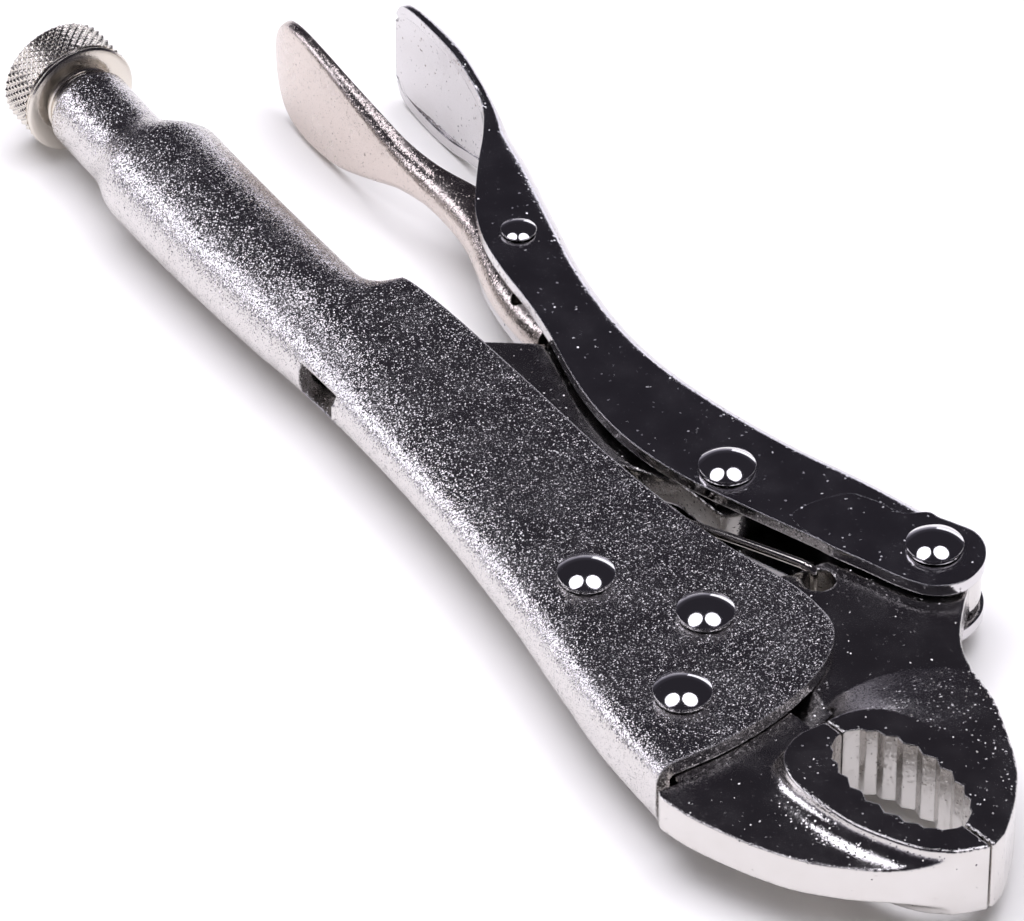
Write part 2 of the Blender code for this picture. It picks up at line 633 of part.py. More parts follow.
def make_fixed_jaw():
    seat = JAW_HUB_RADIUS + CLEAR
    y_seat = parting(seat) - PARTING_GAP / 2
    start = -degrees(acos(y_seat / seat) - pi / 2)
    floor_xs = [-24.0, -16.0, -8.0, 0.0, 8.0, 16.0, 23.0, 27.2]
    outline = smooth(FIXED_JAW_BACK, 2)
    outline += [(NOSE_TIP[0], NOSE_TIP[1] - PARTING_GAP / 2)]
    outline += fine_edge(-1)[::-1] + mouth_edge(-1)[::-1]
    outline += arc((0, 0), seat, start, -188, 24)
    outline += [(-15.0, -2.6), (-22.0, -4.0), (-24.6, -6.4), (-24.6, jaw_floor(-24.0) + 1.5)]
    outline += [(x, jaw_floor(x)) for x in floor_xs]
    outline += [(27.2, FIXED_JAW_BACK[0][1] + 0.6)]
    holes = [(FIXED_JAW_REAR_RIVET, RIVET_SHANK_RADIUS + CLEAR),
             (FIXED_JAW_FRONT_RIVET, RIVET_SHANK_RADIUS + CLEAR)]
    return dress(forge("fixed_jaw", outline, holes), "forged")


def cutter_bevel(side):
    """What is ground off one face of the moving jaw to leave the wire cutter's edge."""
    slope = atan2(CUTTER_DEPTH, CUTTER_HEIGHT)
    lift = 3.0
    y = parting(CUTTER_MIDDLE_X) + CUTTER_HEIGHT / 2 - sin(slope) * lift
    z = side * (JAW_HALF - CUTTER_DEPTH / 2 + cos(slope) * lift)
    wedge = block("wedge", (CUTTER_REAR_X, y - 8, z - lift), (CUTTER_FRONT_X, y + 8, z + lift),
                  turn=side * slope)
    trim = block("trim", (CUTTER_REAR_X - 1, y - 20, -20),
                 (CUTTER_FRONT_X + 3, parting(CUTTER_MIDDLE_X) + CUTTER_HEIGHT, 20))
    PARTS.objects.link(trim)
    PARTS.objects.link(wedge)
    return combine(baked(wedge), baked(trim), "INTERSECT")


def make_moving_jaw():
    y_hub = parting(JAW_HUB_RADIUS) + PARTING_GAP / 2
    start = degrees(atan2(y_hub, JAW_HUB_RADIUS))
    outline = mouth_edge(1) + fine_edge(1) + [(NOSE_TIP[0], NOSE_TIP[1] + PARTING_GAP / 2)]
    outline += smooth(MOVING_JAW_BACK, 2)[::-1]
    outline += arc(HANDLE_PIVOT, JAW_EAR_RADIUS, 14, 188, 12)
    outline += [(-3.6, 33.0), (-3.9, 26.0), (-3.9, 18.0), (-5.6, 13.6)]
    outline += arc((0, 0), JAW_HUB_RADIUS, HUB_BACK_ANGLE, 360 + start, 27)
    holes = [(JAW_PIVOT, RIVET_SHANK_RADIUS + CLEAR), (HANDLE_PIVOT, RIVET_SHANK_RADIUS + CLEAR),
             (SPRING_EYE, SPRING_EYE_RADIUS)]
    jaw = forge("moving_jaw", outline, holes)
    for side in (-1, 1):
        jaw = combine(jaw, cutter_bevel(side), "DIFFERENCE")
    hinge_at(jaw, JAW_PIVOT)
    return dress(jaw, "forged")


# ---- rivets ---------------------------------------------------------------------------------
def make_rivet(name, centre, head, height, shank):
    """Rivet with a domed head on both faces of the tool."""
    seat = HANDLE_HALF + CLEAR
    dome = [(head * cos(a), seat + height * 0.22 + height * 0.78 * sin(a))
            for a in (radians(90 - 22.5 * k) for k in range(5))]
    upper = dome + [(head, seat), (shank, seat)]
    profile = upper + [(r, -z) for r, z in reversed(upper)]
    profile[0], profile[-1] = (0.0, profile[0][1]), (0.0, profile[-1][1])
    rivet = turned(name, profile, 20)
    rivet.data.transform(Matrix.Translation((centre[0] * MM, centre[1] * MM, 0)))
    hinge_at(rivet, centre)
    return dress(rivet, "rivet")


def make_rivets():
    big = (RIVET_HEAD_RADIUS, RIVET_HEAD_HEIGHT, RIVET_SHANK_RADIUS)
    make_rivet("jaw_rivet_rear", FIXED_JAW_REAR_RIVET, *big)
    make_rivet("jaw_rivet_front", FIXED_JAW_FRONT_RIVET, *big)
    make_rivet("jaw_pivot_rivet", JAW_PIVOT, *big)
    make_rivet("handle_pivot_rivet", HANDLE_PIVOT, *big)
    make_rivet("toggle_pivot_rivet", TOGGLE_PIVOT, *big)
    make_rivet("release_lever_rivet", LEVER_PIVOT, SMALL_HEAD_RADIUS, SMALL_HEAD_HEIGHT,
               SMALL_SHANK_RADIUS)


# ---- adjusting screw and its knob -----------------------------------------------------------
def along_screw(obj, x):
    """Lays a turned piece on the screw's axis, its own z = 0 at x and +z to the jaws."""
    obj.data.transform(Matrix.Rotation(pi / 2, 4, "Y"))
    obj.location = (x * MM, SCREW_AXIS_Y * MM, 0.0)
    return obj


def make_adjusting_screw():
    length = SCREW_TIP_X - KNOB_FACE_X
    shank_end = length - NOSE_LENGTH
    nose = [(NOSE_RADIUS * sin(a), length - NOSE_RADIUS * 0.8 * (1 - cos(a)))
            for a in (radians(15 * k) for k in range(7))]
    profile = nose + [(NOSE_RADIUS, shank_end), (SCREW_RADIUS, shank_end - 1.2),
                      (SCREW_RADIUS, 0.4), (0.0, 0.4)]
    screw = along_screw(turned("adjusting_screw", profile, 24), KNOB_FACE_X)
    return dress(screw, "turned")


def make_adjusting_knob():
    back = -KNURL_LENGTH - COLLAR_LENGTH
    edge = 0.7
    profile = [(0.0, 0.1), (HUB_RADIUS - 0.4, 0.1), (HUB_RADIUS, -0.3), (HUB_RADIUS, -0.9),
               (KNOB_RADIUS - 1.0, -1.1), (KNOB_RADIUS, -COLLAR_LENGTH + 0.3),
               (KNOB_RADIUS - 0.5, -COLLAR_LENGTH), (KNOB_RADIUS, -COLLAR_LENGTH - 0.3),
               (KNOB_RADIUS, back + edge), (KNOB_RADIUS - edge, back), (0.0, back)]
    knob = along_screw(turned("adjusting_knob", profile, 36), KNOB_FACE_X)
    return dress(knob, "turned")


# ---- tension spring -------------------------------------------------------------------------
def make_tension_spring():
    """Wire from the hole in the moving jaw, through the coils, to the tab in the spine."""
    reach = SPRING_EYE_RADIUS - SPRING_WIRE_RADIUS - CLEAR
    front = Vector((SPRING_EYE[0] - reach * 0.9, SPRING_EYE[1] - 0.1, 0.0))
    root, tip = spring_tab_line()
    behind_tab = HOOK_SETBACK + CLEAR + 2 * SPRING_WIRE_RADIUS
    rear = Vector((lerp(root[0], tip[0], 0.6) - behind_tab, lerp(root[1], tip[1], 0.58), 0.0))
    axis = (rear - front).normalized()
    side = Vector((0, 0, 1)).cross(axis)
    over = JAW_HALF + CLEAR + SPRING_WIRE_RADIUS + 0.1
    grip = HOOK_HALF_WIDTH

    def at(distance, height, sideways=0.0):
        return tuple(front + axis * distance + Vector((0, 0, height)) + side * sideways)

    start = SPRING_LEG_LENGTH
    points = [at(0.0, -JAW_HALF - 0.6), at(0.0, 0.0), at(0.0, over - 1.0), at(0.5, over - 0.2),
              at(1.4, over), at(3.4, over), at(start * 0.6, lerp(over, SPRING_COIL_RADIUS, 0.5)),
              at(start - 2.0, SPRING_COIL_RADIUS + 0.1)]
    total = (rear - front).length
    end = total - 17.0
    sides = 8
    count = SPRING_TURNS * sides
    for k in range(count + 1):
        a = 2 * pi * k / sides
        points.append(at(lerp(start, end, k / count), SPRING_COIL_RADIUS * cos(a),
                         SPRING_COIL_RADIUS * sin(a)))
    points += [at(end + 4.0, grip - 0.1), at(total - grip, grip)]
    turn = [radians(15 + 30 * k) for k in range(6)]
    points += [at(total - grip + grip * sin(a), grip * cos(a)) for a in turn]
    points += [at(total - grip, -grip), at(total - grip - 2.5, -grip + 0.2)]
    spring = wire("tension_spring", points, SPRING_WIRE_RADIUS)
    return dress(spring, "wire")


# ---- putting it together --------------------------------------------------------------------
def stand_on_underside():
    """Shifts everything so that the middle of the underside is the origin."""
    bpy.context.view_layer.update()
    corners = [obj.matrix_world @ v.co for obj in PARTS.objects for v in obj.data.vertices]
    low = Vector([min(c[i] for c in corners) for i in range(3)])
    high = Vector([max(c[i] for c in corners) for i in range(3)])
    shift = Vector(((low.x + high.x) / 2, (low.y + high.y) / 2, low.z))
    for obj in PARTS.objects:
        obj.location -= shift


for old in list(bpy.data.objects):
    bpy.data.objects.remove(old)
PARTS = bpy.data.collections.new("locking_pliers")
bpy.context.scene.collection.children.link(PARTS)

make_fixed_handle()
make_moving_handle()
make_release_lever()
make_toggle_link()
make_fixed_jaw()
make_moving_jaw()
make_rivets()
make_adjusting_screw()
make_adjusting_knob()
make_tension_spring()
stand_on_underside()
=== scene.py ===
import json
from math import acos, asin, atan2, cos, degrees, pi, radians, sin, sqrt

import bmesh
import bpy
from mathutils import Matrix, Vector


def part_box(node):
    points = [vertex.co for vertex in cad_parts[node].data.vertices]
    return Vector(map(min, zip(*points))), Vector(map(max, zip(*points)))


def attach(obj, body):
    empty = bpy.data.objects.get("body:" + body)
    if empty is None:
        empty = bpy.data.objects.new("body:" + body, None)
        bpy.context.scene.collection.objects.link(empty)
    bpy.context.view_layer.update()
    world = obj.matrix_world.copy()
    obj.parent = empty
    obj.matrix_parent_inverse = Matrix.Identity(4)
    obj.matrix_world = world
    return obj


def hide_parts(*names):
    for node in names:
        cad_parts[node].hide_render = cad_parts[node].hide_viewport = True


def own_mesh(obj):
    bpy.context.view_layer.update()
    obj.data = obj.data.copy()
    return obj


# Looks of a pair of locking pliers in nickel-plated steel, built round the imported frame.
# Shapes are in millimetres round the jaw pivot: +X to the jaws, +Y to the moving handle, +Z along
# the rivets. finished() moves them to the frame, where the jaw pivot is the joint's own point.
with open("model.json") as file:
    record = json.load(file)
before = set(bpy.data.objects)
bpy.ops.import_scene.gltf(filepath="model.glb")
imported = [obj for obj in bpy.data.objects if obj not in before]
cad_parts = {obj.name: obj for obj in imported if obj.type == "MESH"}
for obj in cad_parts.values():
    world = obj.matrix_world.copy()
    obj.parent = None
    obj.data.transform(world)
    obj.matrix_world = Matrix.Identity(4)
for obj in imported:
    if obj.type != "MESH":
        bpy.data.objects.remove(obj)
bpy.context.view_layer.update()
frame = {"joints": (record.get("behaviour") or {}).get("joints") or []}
JOINTS = {joint["name"]: joint for joint in frame["joints"]}
HOME = Vector(JOINTS["jaw_pivot"]["pos_m"])
MM = 0.001


def tool_point(joint):
    """A joint's place round the jaw pivot, in millimetres."""
    offset = (Vector(JOINTS[joint]["pos_m"]) - HOME) / MM
    return offset.x, offset.y


def node_middle(node):
    """The middle of a node's box round the jaw pivot, in millimetres."""
    low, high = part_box(node)
    offset = ((low + high) / 2 - HOME) / MM
    return offset.x, offset.y


def node_limit(node, axis, highest):
    """How far a node reaches along an axis, in millimetres round the jaw pivot."""
    return (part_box(node)[highest][axis] - HOME[axis]) / MM


# ---- sizes ----------------------------------------------------------------------------------
HANDLE_PIVOT = tool_point("handle_pivot")
TOGGLE_PIVOT = tool_point("toggle_pivot")
LEVER_PIVOT = tool_point("release_lever_pivot")
SPRING_EYE = (-0.6, 20.9)
SPRING_EYE_RADIUS = 2.5
CLEAR = 0.25
SHEET = 2.5
MOVING_SHEET = 2.0
MOVING_CORNER = 3.6
LEVER_SHEET = 1.6
JAW_HALF = 3.2
HANDLE_HALF = 6.0
LEVER_HALF = 3.75
NOSE_HALF = 6.4
LINK_HALF = 2.5
HEAD_RADIUS, HEAD_HEIGHT, HEAD_RIM, SHANK_RADIUS = 4.5, 2.1, 0.75, 2.4
SMALL_RADIUS, SMALL_HEIGHT, SMALL_RIM, SMALL_SHANK = 2.9, 1.1, 0.35, 1.5
TUBE_START_X, TUBE_LENGTH, SHOULDER_LENGTH, NECK_LENGTH = -100.0, 43.5, 8.0, 13.5
TUBE_END_SPINE_Y, TUBE_END_EDGE_Y, TUBE_HALF_WIDTH = -24.3, -2.4, 9.2
ROLL_LENGTH = 9.0
NECK_RADIUS = 7.2
SEAM = 0.35
SCREW_AXIS_Y = -15.2
TUBE_END_X = TUBE_START_X - TUBE_LENGTH
NECK_START_X = TUBE_END_X - SHOULDER_LENGTH
NECK_END_X = NECK_START_X - NECK_LENGTH
MOUTH_CENTRE, MOUTH_RADII, MOUTH_TILT = (46.7, 4.7), (13.3, 7.1), radians(9.6)
NOSE_TIP = (65.8, 8.3)
TOOTH_COUNT, TOOTH_DEPTH = 11, 0.9
FINE_TOOTH_COUNT, FINE_TOOTH_DEPTH = 4, 0.5
PARTING_GAP = 0.3
BEYOND_NOSE_X, BEYOND_PARTING = 70.0, 8.0
JAW_HUB_RADIUS, JAW_EAR_RADIUS, HUB_BACK_ANGLE = 10.5, 7.4, 138
CUTTER_X, CUTTER_MIDDLE_X, CUTTER_DEPTH, CUTTER_HEIGHT = (16.0, 27.0), 24.0, 2.3, 4.8
SLOT_X, SLOT_HALF_WIDTH = (-87.0, -77.0), 2.9
TAB_ROOT_X, TAB_REACH, TAB_HALF_WIDTH, TAB_HALF_THICKNESS = -77.4, (-6.0, 5.6), 1.4, 0.8
LEVER_HOLE, LEVER_HOLE_RADIUS = (-82.6, 17.6), 1.7
LINK_END, LINK_END_RADIUS, LINK_EYE_RADIUS = (-96.0, SCREW_AXIS_Y), 1.9, 6.8
# how coarse the skin of a forging is and how often it is softened
JAW_GRAIN, LINK_GRAIN, FORGING_PASSES = 0.28, 0.3, 3
WELD = 1e-4
DRILL_HALF_LENGTH = 30

# spine of the fixed handle: x, y of its outer face, growth of half width, corner depth
FIXED_SPINE = [
    (27.0, -24.9, 0.0, 3.2), (10.0, -25.1, 0.0, 4.4), (-4.0, -24.0, 0.0, 5.8),
    (-20.0, -22.1, 0.0, 7.4), (-40.0, -20.7, 0.0, 8.8), (-60.0, -20.2, 0.3, 9.6),
    (-76.0, -20.4, 0.9, 10.0), (-90.0, -21.1, 1.9, 10.3), (-100.0, -22.2, 2.9, 10.8),
]
FIXED_EDGE = [
    (-100.0, -1.0), (-97.0, -0.3), (-93.0, 1.0), (-88.0, 2.4), (-82.0, 3.5), (-75.0, 4.4),
    (-60.0, 5.8), (-45.0, 6.8), (-30.0, 8.3), (-20.0, 9.8), (-10.0, 12.0), (0.0, 14.9),
    (5.0, 15.7), (9.0, 15.8),
]
FRONT_CURVE_CENTRE, FRONT_CURVE = (9.0, -21.0), (17.0, 36.8)
# back of the moving handle: x, y of its outer face, growth of half width
MOVING_SPINE = [
    (-153.5, 38.2, 1.0), (-152.0, 38.3, 3.4), (-149.0, 38.5, 4.4), (-143.0, 38.8, 4.8),
    (-136.0, 38.9, 4.4), (-130.0, 38.6, 2.8), (-124.0, 38.1, 0.9), (-118.0, 37.2, 0.1),
    (-110.0, 35.7, 0.0), (-96.0, 32.2, 0.0), (-82.0, 29.0, 0.0), (-68.0, 27.4, 0.0),
    (-56.0, 27.7, 0.0), (-42.0, 30.3, 0.0), (-28.0, 34.4, 0.0), (-14.0, 39.8, 0.0),
    (-2.4, 43.6, 0.0),
]
MOVING_EDGE = [
    (-153.5, 36.4), (-143.0, 36.4), (-130.0, 36.4), (-124.0, 35.4), (-119.0, 32.4),
    (-114.0, 28.6), (-108.0, 24.4), (-103.0, 21.3), (-96.0, 18.6), (-88.0, 17.1),
    (-78.0, 16.2), (-70.0, 15.0), (-60.0, 12.8), (-52.0, 11.7), (-44.0, 11.6), (-36.0, 12.7),
    (-28.0, 14.9), (-18.0, 18.9), (-8.0, 23.2), (-2.4, 25.6),
]
# the ear's rear end stays on the flat of the handle's side, clear of its rounded back corner
EAR_OUTLINE = [
    (-13.0, 24.0), (-6.0, 24.1), (2.0, 27.4), (8.0, 30.0), (12.2, 33.0), (13.9, 37.6),
    (12.2, 42.2), (8.8, 45.0), (5.2, 45.6), (2.0, 44.2), (-0.6, 42.8), (-2.6, 42.0),
    (-4.6, 38.4), (-9.0, 36.6), (-13.0, 33.0),
]
# release lever: x, y of its lower face, half width, y of the top of its cheeks
LEVER_TRACK = [
    (-163.0, 18.8, 2.6, 20.5), (-161.6, 18.3, 5.8, 20.0), (-158.5, 17.6, 8.9, 19.4),
    (-154.0, 17.2, 10.4, 19.0), (-147.0, 17.1, 10.5, 18.9), (-140.0, 17.3, 9.4, 19.3),
    (-132.0, 18.1, 6.9, 20.6), (-125.0, 19.0, 4.6, 22.0), (-118.0, 19.7, LEVER_HALF, 23.6),
    (-110.0, 19.9, LEVER_HALF, 26.0), (-103.0, 19.2, LEVER_HALF, 27.6),
    (-94.4, 16.9, LEVER_HALF, 28.2), (-88.0, 15.4, LEVER_HALF, 25.2),
    (-81.0, 14.8, LEVER_HALF, 21.2), (-73.6, 15.0, LEVER_HALF, 18.6),
]
LINK_TOP = [
    (-36.0, 24.4), (-46.0, 21.2), (-58.0, 19.0), (-66.0, 18.0), (-70.4, 17.2), (-72.2, 14.8),
    (-77.6, 6.7), (-83.0, -1.2), (-90.0, -8.6), (-95.0, -12.2),
]
LINK_BOTTOM = [(-93.4, -17.0), (-84.0, -12.4), (-66.0, -3.4), (-46.0, 6.4), (-32.0, 15.2)]
MOVING_JAW_BACK = [
    (14.6, 37.6), (17.4, 35.2), (20.6, 32.7), (24.4, 30.7), (29.0, 29.4), (37.0, 27.8),
    (45.0, 24.8), (52.1, 21.7), (57.3, 18.2), (61.4, 14.6), (64.4, 11.4),
]
FIXED_JAW_BACK = [
    (28.6, -26.0), (34.0, -24.7), (40.0, -22.2), (46.0, -19.1), (51.0, -15.7), (55.2, -11.6),
    (59.2, -6.6), (62.6, -0.8), (64.8, 4.4),
]
# raised land round the mouth: its top edge, then how far its foot spreads, in a short scoop on
# the fixed jaw and a long gentle slope on the moving jaw
LAND_OUTLINE = [
    (30.0, 1.5, 0.8), (30.4, -3.2, 1.4), (33.0, -7.2, 2.4), (38.0, -9.0, 4.2),
    (44.0, -8.5, 4.8), (51.0, -6.8, 4.8), (57.0, -3.8, 4.2), (61.2, -0.8, 3.2),
    (64.4, 3.0, 2.0), (69.0, 7.0, 0.6), (69.0, 12.0, 2.0), (63.0, 12.9, 10.0),
    (57.0, 15.2, 17.0), (50.0, 16.2, 22.0), (42.0, 15.5, 20.0), (36.0, 13.4, 15.0),
    (32.0, 10.2, 10.0), (30.2, 6.0, 6.0),
]


# ---- curves ---------------------------------------------------------------------------------
def lerp(a, b, t):
    return a + (b - a) * t


def ease(t):
    t = min(1.0, max(0.0, t))
    return t * t * (3 - 2 * t)


def span(start, end, step):
    """Even values from start to end, at most a step apart, both ends included."""
    count = max(1, round(abs(end - start) / step))
    return [lerp(start, end, k / count) for k in range(count + 1)]


def track(rows, x, column):
    """Value of a column at x, along a smooth curve through the rows."""
    rows = sorted(rows)
    if x <= rows[0][0]:
        return rows[0][column]
    if x >= rows[-1][0]:
        return rows[-1][column]
    i = max(k for k in range(len(rows) - 1) if rows[k][0] <= x)

    def slope(k):
        lo, hi = max(k - 1, 0), min(k + 1, len(rows) - 1)
        return (rows[hi][column] - rows[lo][column]) / (rows[hi][0] - rows[lo][0])

    width = rows[i + 1][0] - rows[i][0]
    t = (x - rows[i][0]) / width
    rise, out, back = rows[i + 1][column] - rows[i][column], slope(i) * width, slope(i + 1) * width
    return rows[i][column] + t * out + t * t * (3 * rise - 2 * out - back) \
        + t * t * t * (out + back - 2 * rise)


def smooth(points, steps=8):
    """Points along a smooth open curve through the given ones."""
    result = []
    for i in range(len(points) - 1):
        p0, p1 = points[max(i - 1, 0)], points[i]
        p2, p3 = points[i + 1], points[min(i + 2, len(points) - 1)]
        for k in range(steps):
            t = k / steps
            result.append(tuple(
                0.5 * (2 * b + (c - a) * t + (2 * a - 5 * b + 4 * c - d) * t * t
                       + (3 * b - a - 3 * c + d) * t ** 3)
                for a, b, c, d in zip(p0, p1, p2, p3)))
    return result + [tuple(points[-1])]


def closed(points, steps=8):
    """Points along a smooth closed curve through the given ones."""
    count = len(points)
    wide = [points[-1]] + list(points) + [points[0], points[1]]
    fine = smooth(wide, steps)
    return fine[steps:steps * (count + 1)]


def arc(centre, radius, start, end, steps):
    """Points of an arc, angles in degrees."""
    angles = [radians(start + (end - start) * k / steps) for k in range(steps + 1)]
    return [(centre[0] + radius * cos(a), centre[1] + radius * sin(a)) for a in angles]


def ring(centre, radius, sides=48):
    """Points of a full circle."""
    return arc(centre, radius, 0, 360 * (sides - 1) / sides, sides - 1)


# ---- making meshes --------------------------------------------------------------------------
def add_object(name, data):
    obj = bpy.data.objects.new(name, data)
    bpy.context.scene.collection.objects.link(obj)
    return obj


def mesh_object(name, bm):
    mesh = bpy.data.meshes.new(name)
    bm.to_mesh(mesh)
    bm.free()
    return add_object(name, mesh)


def baked(obj):
    """The object with its modifiers, or its curve, turned into one plain mesh."""
    bpy.context.view_layer.update()
    graph = bpy.context.evaluated_depsgraph_get()
    mesh = bpy.data.meshes.new_from_object(obj.evaluated_get(graph))
    mesh.transform(obj.matrix_world)
    name = obj.name
    bpy.data.objects.remove(obj)
    bm = bmesh.new()
    bm.from_mesh(mesh)
    bmesh.ops.remove_doubles(bm, verts=bm.verts, dist=WELD)
    bm.to_mesh(mesh)
    bm.free()
    return add_object(name, mesh)


def combine(obj, other, operation):
    """Boolean of two solids; the second one is used up."""
    step = obj.modifiers.new(operation.lower(), "BOOLEAN")
    step.operation = operation
    step.object = other
    result = baked(obj)
    bpy.data.objects.remove(other)
    return result


def plate(name, outline, half, holes=(), centre_z=0.0):
    """Flat outline with round holes, a solid plate along Z."""
    curve = bpy.data.curves.new(name, "CURVE")
    curve.dimensions = "2D"
    curve.fill_mode = "BOTH"
    curve.extrude = half
    for loop in [outline] + [ring(centre, radius) for centre, radius in holes]:
        spline = curve.splines.new("POLY")
        spline.points.add(len(loop) - 1)
        for point, (x, y) in zip(spline.points, loop):
            point.co = (x, y, 0.0, 1.0)
        spline.use_cyclic_u = True
    obj = add_object(name, curve)
    obj.location.z = centre_z
    return baked(obj)


def drill(centre, radius):
    """Round cutter along Z."""
    return plate("drill", ring(centre, radius), DRILL_HALF_LENGTH)


def block(low, high, turn=0.0):
    """Box between two corners, turned about its own middle round X, used only as a cutter."""
    bm = bmesh.new()
    bmesh.ops.create_cube(bm, size=1)
    size = Matrix.Diagonal([b - a for a, b in zip(low, high)] + [1])
    middle = Vector([(a + b) / 2 for a, b in zip(low, high)])
    bm.transform(Matrix.Translation(middle) @ Matrix.Rotation(turn, 4, "X") @ size)
    return mesh_object("block", bm)


def pressed(name, sections, thickness, opens_down=False, edge=0.45):
    """Sheet bent to half sections of its outer face, with its cut edges broken."""
    bm = bmesh.new()
    rows = [[bm.verts.new((x, y, z)) for y, z in section] for x, section in sections]
    for low, high in zip(rows, rows[1:]):
        for k in range(len(low) - 1):
            bm.faces.new((low[k], low[k + 1], high[k + 1], high[k]))
    obj = mesh_object(name, bm)
    mirror = obj.modifiers.new("other_half", "MIRROR")
    mirror.use_axis = (False, False, True)
    mirror.merge_threshold = WELD
    sheet = obj.modifiers.new("sheet", "SOLIDIFY")
    sheet.thickness = thickness
    sheet.offset = -1.0 if opens_down else 1.0
    sheet.use_even_offset = True
    broken = obj.modifiers.new("broken_edge", "BEVEL")
    broken.width = edge
    broken.segments = 3
    broken.limit_method = "ANGLE"
    broken.angle_limit = radians(50)
    return baked(obj)


def forged(obj, grain, passes):
    """Softens a solid as a die forging is: one skin with rounded edges and filled corners."""
    skin = obj.modifiers.new("skin", "REMESH")
    skin.mode = "VOXEL"
    skin.voxel_size = grain
    soften = obj.modifiers.new("soften", "SMOOTH")
    soften.factor = 0.5
    soften.iterations = passes
    return baked(obj)


def finished(obj, body, material, nodes=(), sharp=38):
    """Moves a piece to the frame, shades it and says what it stands for."""
    obj.data.transform(Matrix.Translation(HOME) @ Matrix.Scale(MM, 4))
    obj.data.materials.clear()
    obj.data.materials.append(material)
    obj.data.shade_smooth()
    obj.data.set_sharp_from_angle(angle=radians(sharp))
    level = obj.modifiers.new("level_faces", "WEIGHTED_NORMAL")
    level.keep_sharp = True
    level.weight = 80
    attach(obj, body)
    if nodes:
        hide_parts(*nodes)
    return obj


# ---- handles --------------------------------------------------------------------------------
def open_section(base, edge, half, corner_y, side, corner_steps=12, wall_steps=12):
    """Half of a channel: flat base, round corner, wall up to its edge."""
    corner_z = min(half - 0.5, abs(corner_y))
    points = [(base, 0.0)]
    for k in range(corner_steps + 1):
        a = k / corner_steps * pi / 2
        points.append((base + side * corner_y * (1 - cos(a)), half - corner_z * (1 - sin(a))))
    start = points[-1][0]
    return points + [(lerp(start, edge, k / wall_steps), half) for k in range(1, wall_steps + 1)]


def round_section(base, edge, half, count=25):
    """Half of a tube that is rolled shut."""
    middle, radius = (base + edge) / 2, (edge - base) / 2
    last = pi - SEAM / half
    turns = [last * k / count for k in range(1, count + 1)]
    return [(base, 0.0)] + [(middle - radius * cos(a), half * sin(a)) for a in turns]


def fixed_front_edge(x):
    cx, cy = FRONT_CURVE_CENTRE
    if x <= cx:
        return track(FIXED_EDGE, x, 1)
    return cy + FRONT_CURVE[1] * sqrt(max(0.0, 1 - ((x - cx) / FRONT_CURVE[0]) ** 2))


def tube_outline(x):
    """Spine, upper edge and half width of the closed part at x."""
    neck = (SCREW_AXIS_Y - NECK_RADIUS, SCREW_AXIS_Y + NECK_RADIUS, NECK_RADIUS)
    if x <= NECK_START_X:
        return neck
    start = (track(FIXED_SPINE, TUBE_START_X, 1), FIXED_EDGE[0][1],
             HANDLE_HALF + FIXED_SPINE[-1][2])
    end = (TUBE_END_SPINE_Y, TUBE_END_EDGE_Y, TUBE_HALF_WIDTH)
    if x >= TUBE_END_X:
        t = (TUBE_START_X - x) / TUBE_LENGTH
        return tuple(lerp(a, b, sin(t * pi / 2)) for a, b in zip(start, end))
    t = ease((TUBE_END_X - x) / SHOULDER_LENGTH)
    return tuple(lerp(a, b, t) for a, b in zip(end, neck))


def fixed_section(x):
    if x <= TUBE_START_X:
        return round_section(*tube_outline(x))
    spine, half, corner = track(FIXED_SPINE, x, 1), HANDLE_HALF + track(FIXED_SPINE, x, 2), \
        track(FIXED_SPINE, x, 3)
    channel = open_section(spine, fixed_front_edge(x), half, corner, 1)
    shut = ease((TUBE_START_X + ROLL_LENGTH - x) / ROLL_LENGTH)
    rolled = round_section(spine, fixed_front_edge(x), half)
    return [tuple(lerp(a, b, shut) for a, b in zip(p, q)) for p, q in zip(channel, rolled)]


def spring_tab():
    """The tab lanced out of the spine for the spring's rear hook: root and tip."""
    root = Vector((TAB_ROOT_X, track(FIXED_SPINE, TAB_ROOT_X, 1) + SHEET / 2))
    return root, root + Vector(TAB_REACH)


def make_fixed_handle():
    front_x = FRONT_CURVE_CENTRE[0]
    xs = span(NECK_END_X, front_x, 1.4)
    xs += [front_x + FRONT_CURVE[0] * sin(radians(80 * k / 20)) for k in range(1, 21)]
    handle = pressed("fixed_handle_shell", [(x, fixed_section(x)) for x in xs], SHEET)
    rear_x, front_slot_x = SLOT_X
    spine = track(FIXED_SPINE, (rear_x + front_slot_x) / 2, 1)
    slot = block((rear_x, spine - 6, -SLOT_HALF_WIDTH),
                 (front_slot_x, spine + SHEET + 3, SLOT_HALF_WIDTH))
    handle = combine(handle, slot, "DIFFERENCE")
    root, tip = spring_tab()
    along = (tip - root).normalized()
    across = Vector((-along.y, along.x)) * TAB_HALF_THICKNESS
    foot = root - along * 1.4
    corners = [foot + across, tip + across, tip - across, foot - across]
    tab = plate("tab", [tuple(c) for c in corners], TAB_HALF_WIDTH)
    handle = combine(handle, tab, "UNION")
    return finished(handle, "fixed_body", BLASTED, ["fixed_handle"])


